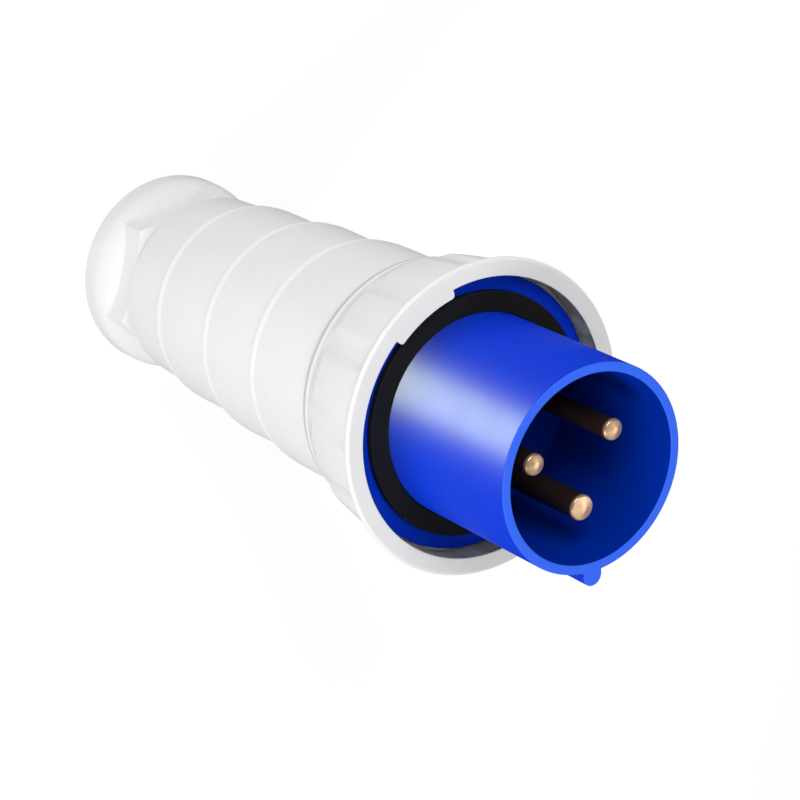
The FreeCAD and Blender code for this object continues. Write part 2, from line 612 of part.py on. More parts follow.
def make_pin(name, angle, radius):
    """Brass pin with its collar and its drilled terminal barrel."""
    body = new_body(name + "_pin")
    shoulder = "(Sizes.total_length - Sizes.tip_depth - Sizes.tip_length)"
    tip = "(Sizes.total_length - Sizes.tip_depth)"
    wire_bore = "(Sizes.barrel_r - Sizes.barrel_wall)"
    bore_end = "(%s + Sizes.wire_bore_depth)" % BARREL_END
    revolve(body, "turned", [
        ("0", bore_end),
        (wire_bore, "(%s - Sizes.drill_cone)" % bore_end),
        (wire_bore, BARREL_END),
        ("(Sizes.barrel_r - Sizes.edge_break)", BARREL_END),
        (size("barrel_r"), "(%s + Sizes.edge_break)" % BARREL_END),
        (size("barrel_r"), BLOCK_BACK),
        (size("collar_r"), BLOCK_BACK),
        (size("collar_r"), "(%s + Sizes.collar_thickness)" % BLOCK_BACK),
        ("(%s + Sizes.pin_root_step)" % radius, "(%s + Sizes.collar_thickness)" % BLOCK_BACK),
        ("(%s + Sizes.pin_root_step)" % radius, FLOOR),
        (radius, FLOOR),
        (radius, "(%s - Sizes.tip_shoulder_drop)" % shoulder),
        ("(%s - Sizes.tip_shoulder_in)" % radius, shoulder, size("tip_shoulder_r"), -1),
        (size("tip_flat_r"), tip),
        ("0", tip),
    ])
    side = new_sketch(body, "screw_thread_outline", "YZ_Plane")
    first = "(%s + Sizes.terminal_screw_first)" % BARREL_END
    for place in (first, "(%s + Sizes.terminal_screw_pitch)" % first):
        circle(side, "0", place, "(Sizes.terminal_screw_r + Sizes.hole_gap)")
    pocket(body, "screw_threads", side, "(Sizes.barrel_r + Sizes.overlap)", backwards=True)
    stand_on_circle(body, angle)
    return body


def stand_on_circle(body, angle):
    """Move a piece made on the axis to its place on the pin circle, turned outwards."""
    across, along = polar(size("pin_circle_r"), angle)
    body.Placement = Placement(
        Vector(number(across), number(along), 0), Rotation(Vector(0, 0, 1), number(angle)))
    body.setExpression("Placement.Base.x", across)
    body.setExpression("Placement.Base.y", along)
    body.setExpression("Placement.Rotation.Angle", "mod(%s + 360; 360)" % angle)


def make_terminal_screws(name, angle):
    """The two screws that clamp a wire in its barrel."""
    body = new_body(name + "_terminal_screws")
    pad_top = "(Sizes.barrel_r - Sizes.barrel_wall - Sizes.pad_play)"
    sides = new_sketch(body, "shank_outline", "YZ_Plane", lift=pad_top)
    first = "(%s + Sizes.terminal_screw_first)" % BARREL_END
    for place in (first, "(%s + Sizes.terminal_screw_pitch)" % first):
        circle(sides, "0", place, size("terminal_screw_r"))
    length = "(Sizes.barrel_r + Sizes.terminal_screw_reach - %s)" % pad_top
    pad(body, "shanks", sides, length)
    slots = new_sketch(body, "slot_outline", "YZ_Plane",
                       lift="(Sizes.barrel_r + Sizes.terminal_screw_reach)")
    half_slot = "(Sizes.terminal_screw_r + Sizes.overlap)"
    for place in (first, "(%s + Sizes.terminal_screw_pitch)" % first):
        outline(slots, [
            ("(-%s)" % half_slot, "(%s - Sizes.slot_width / 2)" % place),
            (half_slot, "(%s - Sizes.slot_width / 2)" % place),
            (half_slot, "(%s + Sizes.slot_width / 2)" % place),
            ("(-%s)" % half_slot, "(%s + Sizes.slot_width / 2)" % place),
        ])
    pocket(body, "slots", slots, size("slot_depth"))
    stand_on_circle(body, angle)
    return body


def make_wire_pad(name, angle):
    """Pressure plate between the terminal screws and the wire."""
    body = new_body(name + "_wire_pad")
    pad_top = "(Sizes.barrel_r - Sizes.barrel_wall - Sizes.pad_play)"
    plate = new_sketch(body, "plate_outline", "YZ_Plane", lift="(%s - Sizes.pad_thickness)" % pad_top)
    low = "(%s + Sizes.pad_start)" % BARREL_END
    high = "(%s + Sizes.pad_length)" % low
    outline(plate, [
        ("(-Sizes.pad_width / 2)", low),
        ("(Sizes.pad_width / 2)", low),
        ("(Sizes.pad_width / 2)", high),
        ("(-Sizes.pad_width / 2)", high),
    ])
    pad(body, "plate", plate, size("pad_thickness"))
    stand_on_circle(body, angle)
    return body


def make_pin_retainer():
    """Plate that traps the pin collars, with insulating walls between the terminals."""
    body = new_body("pin_retainer")
    rim = "(%s - Sizes.running_gap)" % SPIGOT_BORE
    revolve(body, "plate", [
        ("0", RETAINER_BACK),
        ("(%s - Sizes.edge_break)" % rim, RETAINER_BACK),
        (rim, "(%s + Sizes.edge_break)" % RETAINER_BACK),
        (rim, BLOCK_BACK),
        ("0", BLOCK_BACK),
    ])
    bisectors = (
        "(%s + Sizes.phase_angle / 2)" % EARTH_ANGLE,
        "(%s - Sizes.phase_angle / 2)" % EARTH_ANGLE,
        "(%s + 180)" % EARTH_ANGLE,
    )
    for index, angle in enumerate(bisectors, start=1):
        wall = new_sketch(body, "barrier_%d_outline" % index, "XY_Plane",
                          lift="(%s - Sizes.barrier_height)" % RETAINER_BACK, turn=angle)
        outline(wall, [
            ("(-Sizes.overlap)", "(-Sizes.barrier_thickness / 2)"),
            ("(%s - Sizes.barrier_end_gap)" % rim, "(-Sizes.barrier_thickness / 2)"),
            ("(%s - Sizes.barrier_end_gap)" % rim, "(Sizes.barrier_thickness / 2)"),
            ("(-Sizes.overlap)", "(Sizes.barrier_thickness / 2)"),
        ])
        pad(body, "barrier_%d" % index, wall, "(Sizes.barrier_height + Sizes.overlap)")
    for name, angle, radius in PINS:
        across, along = polar(size("pin_circle_r"), angle)
        hole = new_sketch(body, name + "_opening_outline", "XY_Plane", lift=BLOCK_BACK)
        circle(hole, across, along, "(Sizes.barrel_r + Sizes.hole_gap)")
        pocket(body, name + "_opening", hole, "(Sizes.retainer_thickness + Sizes.overlap)")
    hole = new_sketch(body, "screw_hole_outline", "XY_Plane",
                      lift=BLOCK_BACK, turn=size("retainer_screw_turn"))
    circle(hole, size("retainer_screw_circle_r"), "0", "(Sizes.retainer_screw_r + Sizes.hole_gap)")
    first = pocket(body, "screw_hole", hole, "(Sizes.retainer_thickness + Sizes.overlap)")
    repeat(body, "screw_holes", [first], size("retainer_screw_count"))
    return body


def make_retainer_screws():
    """Pan-head screws that hold the retainer to the block."""
    body = new_body("retainer_screws")
    centre = size("retainer_screw_circle_r")
    shank = "(Sizes.retainer_screw_circle_r + Sizes.retainer_screw_r)"
    head = "(Sizes.retainer_screw_circle_r + Sizes.retainer_head_r)"
    head_end = "(%s - Sizes.retainer_head_height)" % RETAINER_BACK
    screw = revolve(body, "retainer_screw", [
        (centre, head_end),
        ("(%s - Sizes.retainer_head_bevel)" % head, head_end),
        (head, "(%s + Sizes.retainer_head_bevel)" % head_end),
        (head, RETAINER_BACK),
        (shank, RETAINER_BACK),
        (shank, "(%s + Sizes.retainer_screw_grip)" % BLOCK_BACK),
        (centre, "(%s + Sizes.retainer_screw_grip)" % BLOCK_BACK),
    ], turn=size("retainer_screw_turn"), axis_at=centre)
    repeat(body, "retainer_screw_set", [screw], size("retainer_screw_count"))
    return body


def make_bayonet_ring():
    """White coupling ring with two ramped lugs, raised grips and a ribbed hub."""
    body = new_body("bayonet_ring")
    make_grips(body)
    make_lugs(body)
    back_wall = "(%s + Sizes.ring_back_wall)" % RING_REAR
    under_rim = "(%s - Sizes.rim_corner - Sizes.rim_under_length)" % RING_FACE
    revolve(body, "ring", [
        (HUB_BORE, RING_REAR),
        ("(Sizes.ring_rear_r - Sizes.ring_rear_edge)", RING_REAR),
        (size("ring_rear_r"), "(%s + Sizes.ring_rear_edge)" % RING_REAR,
         size("ring_rear_edge"), -1),
        (size("ring_waist_r"), RING_WAIST, size("ring_bulge_r"), -1),
        ("(Sizes.ring_rim_r - Sizes.rim_under_width)", under_rim, size("ring_flare_r"), 1),
        (size("ring_rim_r"), "(%s - Sizes.rim_corner)" % RING_FACE, size("rim_under_r"), -1),
        ("(Sizes.ring_rim_r - Sizes.rim_corner)", RING_FACE, size("rim_corner"), -1),
        (RING_MOUTH, RING_FACE),
        (RING_BORE, FLANGE_FRONT),
        (RING_BORE, "(%s + Sizes.ring_bore_step)" % HUB_FRONT),
        (SHELL_FRONT_R, HUB_FRONT),
        (SHELL_REAR_R, back_wall),
        (HUB_R, back_wall),
        (HUB_R, HUB_FRONT),
        (HUB_BORE, HUB_FRONT),
    ])
    stop_span = "(Sizes.ring_travel + Sizes.stop_angle + Sizes.ring_rib_angle + 2 * Sizes.stop_slack)"
    first_rib = ("(Sizes.stop_turn + Sizes.stop_angle / 2 + Sizes.ring_rib_angle / 2"
                 " + Sizes.stop_slack)")
    rib = revolve(body, "rib", [
        ("(%s - Sizes.rib_bite)" % HUB_R, "(%s - Sizes.rib_bite)" % back_wall),
        ("(%s + Sizes.rib_bite)" % SHELL_REAR_R, "(%s - Sizes.rib_bite)" % back_wall),
        ("(%s + Sizes.rib_bite)" % SHELL_FRONT_R, "(%s - Sizes.rib_drop)" % HUB_FRONT),
        ("(%s - Sizes.rib_bite)" % HUB_R, "(%s - Sizes.rib_drop)" % HUB_FRONT),
    ], angle=size("ring_rib_angle"), turn=first_rib)
    repeat(body, "ribs", [rib], size("ring_rib_count"), angle="(360 - %s)" % stop_span)
    return body


def make_lugs(body):
    """Two lugs with sloping backs and rounded corners; the ring's wall closes on their roots."""
    lug_back = "(%s - Sizes.lug_thickness)" % RING_FACE
    root = "(%s + Sizes.overlap)" % RING_MOUTH
    lug = revolve(body, "lug", [
        (LUG_R, lug_back),
        (root, lug_back),
        (root, RING_FACE),
        (LUG_R, RING_FACE),
    ], angle=size("lug_angle"), turn=size("lug_turn"))
    ramp = new_sketch(body, "lug_ramp_outline", "XZ_Plane", turn="(Sizes.lug_turn + 90)")
    reach = "(%s * sin(Sizes.lug_angle / 2) + Sizes.overlap)" % root
    outline(ramp, [
        ("(-%s)" % reach, "(%s - Sizes.overlap)" % lug_back),
        (reach, "(%s - Sizes.overlap)" % lug_back),
        (reach, lug_back),
        ("(-%s)" % reach, "(%s + Sizes.lug_ramp)" % lug_back),
    ])
    ramp_cut = pocket(body, "lug_ramp_cut", ramp, root)
    lugs = repeat(body, "lugs", [lug, ramp_cut], "2")
    corners = edges_where(lugs, lambda edge: is_upright_at(edge, number(LUG_R), number(lug_back)))
    round_edges(body, "lug_corners", lugs, corners, size("lug_corner_r"))


def make_grips(body):
    """A raised band parted into grips by valleys; the ring's own wall fills their floors."""
    grip_end = "(%s + Sizes.grip_rear)" % RING_REAR
    shoulder = "(%s + Sizes.grip_slope)" % grip_end
    inside = "(%s + Sizes.hole_gap)" % RING_BORE
    root_end = "(%s - Sizes.overlap * Sizes.grip_slope / Sizes.grip_height)" % grip_end
    revolve(body, "grip_band", [
        ("(Sizes.grip_rear_r - Sizes.overlap)", root_end),
        ("(Sizes.grip_rear_r + Sizes.grip_height)", shoulder),
        ("(Sizes.ring_waist_r + Sizes.grip_height)", "(%s + Sizes.grip_curve_end)" % RING_WAIST,
         size("ring_bulge_r"), -1),
        ("(Sizes.ring_waist_r + Sizes.grip_height)", "(%s + Sizes.grip_front)" % RING_WAIST),
        (inside, "(%s + Sizes.grip_front)" % RING_WAIST),
    ])
    sections = []
    for name, height, radius in (
            ("rear", "(%s - 2 * Sizes.overlap)" % grip_end,
             "(Sizes.grip_rear_r - Sizes.valley_rear_drop)"),
            ("front", "(%s + Sizes.grip_front + Sizes.overlap)" % RING_WAIST,
             "(Sizes.ring_waist_r + Sizes.valley_front_rise)")):
        section = new_sketch(body, "valley_%s_outline" % name, "XY_Plane",
                             lift=height, turn=size("grip_turn"))
        spread = "(%s * (sin(Sizes.valley_top_angle / 2) - sin(Sizes.valley_foot_angle / 2)))" % radius
        foot = "(%s * sin(Sizes.valley_foot_angle / 2))" % radius
        low = "(%s - Sizes.grip_height)" % radius
        high = "(%s + Sizes.valley_reach * Sizes.grip_height)" % radius
        narrow = "(%s - %s)" % (foot, spread)
        wide = "(%s + Sizes.valley_reach * %s)" % (foot, spread)
        outline(section, [
            (low, "(-%s)" % narrow),
            (high, "(-%s)" % wide),
            (high, wide),
            (low, narrow),
        ])
        sections.append(section)
    before = body.Shape.Volume
    valley = body.newObject("PartDesign::SubtractiveLoft", "valley")
    valley.Profile = sections[0]
    valley.Sections = [sections[1]]
    valley.Ruled = True
    document.recompute()
    must_shrink(body, "valley", before)
    repeat(body, "valleys", [valley], size("grip_count"))


def is_upright_at(edge, radius, height):
    """True for an edge along the axis, at a radius, that starts at a height or above it."""
    if len(edge.Vertexes) != 2:
        return False
    low, high = sorted((vertex.Point for vertex in edge.Vertexes), key=lambda point: point.z)
    if math.hypot(low.x - high.x, low.y - high.y) > 1e-4:
        return False
    same_radius = abs(math.hypot(low.x, low.y) - radius) < 1e-3
    return same_radius and high.z - low.z > 1.0 and low.z > height - 0.1


def make_slip_washer():
    """Flat washer between the ring's hub and the flange."""
    body = new_body("ring_slip_washer")
    revolve(body, "washer", [
        (HUB_BORE, SLIP_BACK),
        ("(%s + Sizes.slip_width)" % HUB_BORE, SLIP_BACK),
        ("(%s + Sizes.slip_width)" % HUB_BORE, FLANGE_BACK),
        (HUB_BORE, FLANGE_BACK),
    ])
    return body


def tier_edge(level):
    """The three corners of one tier edge, from its foot to the end of its bright lip."""
    height = "Sizes.tier_%d_height" % level
    radius = "Sizes.tier_%d_r" % level
    return [
        ("Sizes.tier_%d_foot_r" % level, "(%s - Sizes.tier_step)" % height,
         size("tier_bulge_r"), -1),
        ("(%s - Sizes.tier_lip_rise)" % radius, height),
        ("(%s)" % radius, "(%s + Sizes.tier_lip)" % height),
    ]


def make_housing():
    """White tiered housing: gland neck, three stepped tiers, ring neck and front bore."""
    body = new_body("housing")
    bore_end = "(%s - Sizes.front_bore_depth)" % FLANGE_BACK
    undercut = "(Sizes.rear_rim_height - Sizes.undercut_length)"
    corners = [
        (size("gland_bore_r"), NECK_END),
        ("(Sizes.gland_thread_r - Sizes.thread_bevel)", NECK_END),
        (size("gland_thread_r"), "(%s + Sizes.thread_bevel)" % NECK_END),
        (size("gland_thread_r"), undercut),
        ("(Sizes.gland_thread_r - Sizes.undercut_depth)", "(%s + Sizes.undercut_depth)" % undercut),
        ("(Sizes.gland_thread_r - Sizes.undercut_depth)", size("rear_rim_height")),
        ("(Sizes.rear_rim_r - Sizes.edge_break)", size("rear_rim_height")),
        (size("rear_rim_r"), "(Sizes.rear_rim_height + Sizes.edge_break)"),
    ]
    for level in (1, 2, 3):
        corners += tier_edge(level)
    corners += [
        (size("tier_front_r"), "(%s - Sizes.edge_break)" % GROOVE_REAR, size("tier_bulge_r"), -1),
        ("(Sizes.tier_front_r - Sizes.edge_break)", GROOVE_REAR),
        (size("neck_r"), GROOVE_REAR),
        (size("ledge_r"), LEDGE),
        (size("neck_r"), LEDGE),
        (size("neck_r"), FLANGE_BACK),
        (size("front_bore_r"), FLANGE_BACK),
        (size("front_bore_r"), bore_end),
        (size("cavity_front_r"), "(%s - Sizes.cavity_slope)" % bore_end),
        (size("cavity_rear_r"), size("cavity_floor")),
        (size("gland_throat_r"), THROAT_FRONT),
        (size("gland_throat_r"), THROAT_REAR),
        (size("gland_bore_r"), THROAT_REAR),
    ]
    revolve(body, "shell", corners)
    hole = new_sketch(body, "flange_thread_outline", "XY_Plane",
                      lift=FLANGE_BACK, turn=size("insert_screw_turn"))
    circle(hole, size("insert_screw_circle_r"), "0", "(Sizes.insert_screw_r + Sizes.hole_gap)")
    first = pocket(body, "flange_thread", hole, "(Sizes.insert_screw_grip + Sizes.thread_end_gap)")
    repeat(body, "flange_threads", [first], size("insert_screw_count"))
    return body


def make_gland_cage():
    """Clamping cage with slit fingers that the nut closes on the bush."""
    body = new_body("gland_cage")
    slit_end = "(%s + Sizes.finger_length)" % FINGER_TIP
    cone_start = "(%s + Sizes.hole_gap)" % NECK_END
    revolve(body, "cage", [
        (CAGE_BORE, FINGER_TIP),
        (size("cage_tip_r"), FINGER_TIP),
        (CAGE_R, cone_start),
        (CAGE_R, THROAT_REAR),
        (size("cage_cap_r"), THROAT_REAR),
        (size("cage_cap_r"), "(%s - Sizes.cage_cap)" % THROAT_REAR),
        (CAGE_BORE, "(%s - Sizes.cage_cap)" % THROAT_REAR),
    ])
    slit = new_sketch(body, "slit_outline", "XY_Plane", lift=slit_end)
    outline(slit, [
        ("(%s - Sizes.overlap)" % CAGE_BORE, "(-Sizes.finger_slit / 2)"),
        ("(%s + Sizes.overlap)" % CAGE_R, "(-Sizes.finger_slit / 2)"),
        ("(%s + Sizes.overlap)" % CAGE_R, "(Sizes.finger_slit / 2)"),
        ("(%s - Sizes.overlap)" % CAGE_BORE, "(Sizes.finger_slit / 2)"),
    ])
    first = pocket(body, "slit", slit, "(Sizes.finger_length + Sizes.overlap)")
    repeat(body, "slits", [first], size("finger_count"))
    return body


def make_gland_bush():
    """Rubber bush that grips the cable."""
    body = new_body("gland_bush")
    outer = "(%s - Sizes.running_gap)" % CAGE_BORE
    low = "(%s + Sizes.bush_recess)" % FINGER_TIP
    high = "(%s - Sizes.cage_cap)" % THROAT_REAR
    revolve(body, "bush", [
        ("(Sizes.cable_r + Sizes.bush_bevel)", low),
        ("(%s - Sizes.bush_bevel)" % outer, low),
        (outer, "(%s + Sizes.bush_bevel)" % low),
        (outer, high),
        ("(Sizes.cable_r + Sizes.bush_bevel)", high),
        (size("cable_r"), "(%s - Sizes.bush_bevel)" % high),
        (size("cable_r"), "(%s + Sizes.bush_bevel)" % low),
    ])
    return body


def make_thrust_washer():
    """Washer that the nut turns on, so that the fingers don't twist."""
    body = new_body("thrust_washer")
    top = "(Sizes.nut_back_wall + Sizes.thrust_thickness)"
    revolve(body, "washer", [
        (size("nut_mouth_r"), size("nut_back_wall")),
        (size("thrust_r"), size("nut_back_wall")),
        (size("thrust_r"), top),
        ("(Sizes.nut_mouth_r + Sizes.thrust_bevel)", top),
        (size("nut_mouth_r"), "(%s - Sizes.thrust_bevel)" % top),
    ])
    return body


def make_gland_nut():
    """Hexagon nut that swells into a round domed flange."""
    body = new_body("gland_nut")
    seat = "(Sizes.nut_back_wall + Sizes.thrust_thickness)"
    half_flats = "(Sizes.nut_flats / 2)"
    revolve(body, "flange", [
        (size("nut_mouth_r"), "0"),
        ("(Sizes.nut_flange_r - Sizes.nut_edge)", "0"),
        (size("nut_flange_r"), size("nut_edge"), size("nut_edge"), -1),
        (size("nut_flange_r"), size("nut_flange_height")),
        ("(%s - Sizes.nut_dome_drop)" % half_flats, size("nut_dome_end"), size("nut_dome_r"), -1),
        (size("nut_mouth_r"), size("nut_dome_end")),
    ])
    hexagon = new_sketch(body, "hexagon_outline", "XY_Plane", lift=size("nut_edge"),
                         turn=size("nut_turn"))
    corner_r = "(%s / cos(30))" % half_flats
    outline(hexagon, [polar(corner_r, str(60 * side)) for side in range(6)])
    pad(body, "hexagon", hexagon, "(Sizes.nut_length - Sizes.nut_edge)")
    bevel_start = "(%s + Sizes.nut_bevel_start)" % half_flats
    past_corner = "(%s + Sizes.overlap)" % corner_r
    past_front = "(Sizes.nut_length + Sizes.overlap)"
    groove(body, "front_bevel", [
        (bevel_start, size("nut_length")),
        (bevel_start, past_front),
        (past_corner, past_front),
        (past_corner, "(Sizes.nut_length - Sizes.nut_bevel_length)"),
    ])
    groove(body, "thread_bore", [
        ("0", "(-Sizes.overlap)"),
        (size("nut_mouth_r"), "(-Sizes.overlap)"),
        (size("nut_mouth_r"), size("nut_back_wall")),
        ("(Sizes.thrust_r + Sizes.running_gap)", size("nut_back_wall")),
        ("(Sizes.thrust_r + Sizes.running_gap)", seat),
        ("(%s + Sizes.running_gap)" % CAGE_R, "(%s - Sizes.running_gap)" % NECK_END),
        (NUT_BORE, "(%s - Sizes.running_gap)" % NECK_END),
        (NUT_BORE, "(Sizes.nut_length - Sizes.nut_lead_in)"),
        ("(%s + Sizes.nut_lead_in)" % NUT_BORE, size("nut_length")),
        ("(%s + Sizes.nut_lead_in)" % NUT_BORE, past_front),
        ("0", past_front),
    ])
    return body


def check_and_write(bodies):
    """Refuse failed features and broken shapes, then write one file for each piece."""
    document.recompute()
    for item in document.Objects:
        if "Invalid" in item.State or "Error" in item.State:
            raise RuntimeError("%s failed: %s" % (item.Name, item.State))
    for body in bodies:
        if body.Shape.isNull() or not body.Shape.isValid() or not body.Shape.Solids:
            raise RuntimeError("%s has no sound shape" % body.Label)
    os.makedirs("parts", exist_ok=True)
    for body in bodies:
        body.Shape.exportStep("parts/%s.step" % body.Label)
        box = body.Shape.BoundBox
        print("%-24s solids %d volume %9.1f  z %.2f to %.2f" % (
            body.Label, len(body.Shape.Solids), body.Shape.Volume, box.ZMin, box.ZMax))


pieces = [
    make_contact_sleeve(),
    make_insert_screws(),
    make_face_gasket(),
    make_insert_seal(),
]
for pin_name, pin_angle, pin_radius in PINS:
    pieces.append(make_pin(pin_name, pin_angle, pin_radius))
    pieces.append(make_terminal_screws(pin_name, pin_angle))
    pieces.append(make_wire_pad(pin_name, pin_angle))
pieces += [
    make_pin_retainer(),
    make_retainer_screws(),
    make_bayonet_ring(),
    make_slip_washer(),
    make_housing(),
    make_gland_cage(),
    make_gland_bush(),
    make_thrust_washer(),
    make_gland_nut(),
]
check_and_write(pieces)
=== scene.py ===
"""Looks of an industrial pin and sleeve plug, built round its fixed frame.

Sizes are millimetres in the classes below and become metres when a mesh is made.
+Z runs along the plug's axis from the gland nut to the mouth of the blue sleeve.
"""

import logging
import math
from dataclasses import dataclass
from enum import Enum
from typing import Any, Callable, ClassVar, Iterable, Sequence

import bmesh
import bpy
import numpy as np
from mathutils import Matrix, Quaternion, Vector


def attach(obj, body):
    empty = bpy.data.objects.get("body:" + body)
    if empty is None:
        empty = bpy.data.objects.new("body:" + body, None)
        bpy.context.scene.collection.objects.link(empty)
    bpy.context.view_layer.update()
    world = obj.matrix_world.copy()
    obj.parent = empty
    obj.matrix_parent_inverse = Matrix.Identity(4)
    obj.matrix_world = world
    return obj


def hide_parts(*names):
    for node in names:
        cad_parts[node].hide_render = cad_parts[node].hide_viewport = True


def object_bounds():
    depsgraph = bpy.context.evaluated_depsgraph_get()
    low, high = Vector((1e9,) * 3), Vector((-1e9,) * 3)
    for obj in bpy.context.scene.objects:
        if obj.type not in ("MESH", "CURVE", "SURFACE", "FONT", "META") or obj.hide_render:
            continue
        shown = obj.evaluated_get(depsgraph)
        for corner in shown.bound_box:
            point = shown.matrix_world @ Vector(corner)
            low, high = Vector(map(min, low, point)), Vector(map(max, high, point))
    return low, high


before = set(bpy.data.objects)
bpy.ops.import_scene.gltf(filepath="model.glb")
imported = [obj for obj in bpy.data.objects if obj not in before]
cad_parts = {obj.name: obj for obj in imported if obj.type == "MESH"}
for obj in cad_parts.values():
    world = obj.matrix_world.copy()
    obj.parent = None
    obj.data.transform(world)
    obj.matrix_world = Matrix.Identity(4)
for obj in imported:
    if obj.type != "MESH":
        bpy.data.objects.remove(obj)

MM = 0.001
FULL_TURN = 360.0
CAD_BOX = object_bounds()
# Attributes that the materials read: the first paints a lighter colour (painted highlight) on moulded pieces
# and keeps the brass tips bright over painted-shade shafts; the second paints a darker colour (painted shade)
# and a matt roughness.
PAINTED_LIGHT_MARK = "edge"
PAINTED_SHADE_MARK = "deep"
CLOUD_ENDS = (0.35, 0.65)
TARNISH_ENDS = (0.4, 0.7)
TARNISH_SCALE = 120.0
TARNISH_DETAIL = 2.0
TARNISH_ROUGHNESS = 0.06

log = logging.getLogger("plug")

Colour = tuple[float, float, float, float]
Rows = list[tuple[float, float]]
Place = tuple[float, float, float]


def tone(red: int, green: int, blue: int) -> Colour:
    """Turn a screen colour into the linear colour that shaders take.

    Args:
        red, green, blue: screen values from 0 to 255.

    Returns:
        The linear colour with full opacity.
    """
    def linear(level: int) -> float:
        """Undo the screen's curve for one of the three values."""
        share = level / 255
        return share / 12.92 if share <= 0.04045 else ((share + 0.055) / 1.055) ** 2.4

    return linear(red), linear(green), linear(blue), 1.0


class Body(Enum):
    """The plug's rigid bodies."""

    PLUG = "plug"
    RING = "coupling_ring"
    WASHER = "gland_washer"
    NUT = "gland_nut"


class Slot(Enum):
    """The record's finishes."""

    WHITE = "white_moulding"
    BLUE = "blue_moulding"
    GREY = "grey_moulding"
    RUBBER = "black_rubber"
    BRASS = "brass"
    STEEL = "plated_steel"


class Wiring:
    """Adds and joins the nodes of one tree."""

    def __init__(self, tree: bpy.types.NodeTree) -> None:
        """Keep the tree that the nodes go into."""
        self.tree = tree

    def node(self, kind: str, **settings: Any) -> bpy.types.Node:
        """Add a node.

        Args:
            kind: its type's name.
            settings: its own properties.

        Returns:
            The new node.
        """
        made = self.tree.nodes.new(kind)
        for key, value in settings.items():
            setattr(made, key, value)
        return made

    def feed(self, target: bpy.types.NodeSocket, source: Any) -> None:
        """Give a socket a value, or join it to another node's output.

        Args:
            target: the socket that is fed.
            source: a plain value, or an output.
        """
        if isinstance(source, bpy.types.NodeSocket):
            self.tree.links.new(source, target)
        else:
            target.default_value = source

    def sum(self, operation: str, *inputs: Any, clamp: bool = False) -> bpy.types.NodeSocket:
        """Add one step of arithmetic.

        Args:
            operation: the Math node's operation.
            inputs: numbers or outputs, in the node's order.
            clamp: keep the result between 0 and 1.

        Returns:
            The result's output.
        """
        step = self.node("ShaderNodeMath", operation=operation, use_clamp=clamp)
        for socket, source in zip(step.inputs, inputs):
            self.feed(socket, source)
        return step.outputs[0]

    def ramp(self, value: Any, low: Any, high: Any, to_low: Any = 0.0, to_high: Any = 1.0,
             smooth: bool = True) -> bpy.types.NodeSocket:
        """Carry a value from one range to another, eased at both ends.

        Args:
            value: what is carried over.
            low, high: the range that it comes from.
            to_low, to_high: the range that it goes to.
            smooth: ease the ends.

        Returns:
            The result's output.
        """
        step = self.node("ShaderNodeMapRange",
                         interpolation_type="SMOOTHSTEP" if smooth else "LINEAR")
        for socket, source in zip(step.inputs, (value, low, high, to_low, to_high)):
            self.feed(socket, source)
        return step.outputs[0]


def add_sockets(tree: bpy.types.NodeTree, inputs: dict[str, str], outputs: dict[str, str]) -> None:
    """Give a node group its named sockets.

    Args:
        tree: the group.
        inputs, outputs: socket names and their types.
    """
    for names, side in ((inputs, "INPUT"), (outputs, "OUTPUT")):
        for name, kind in names.items():
            tree.interface.new_socket(name, in_out=side, socket_type=kind)


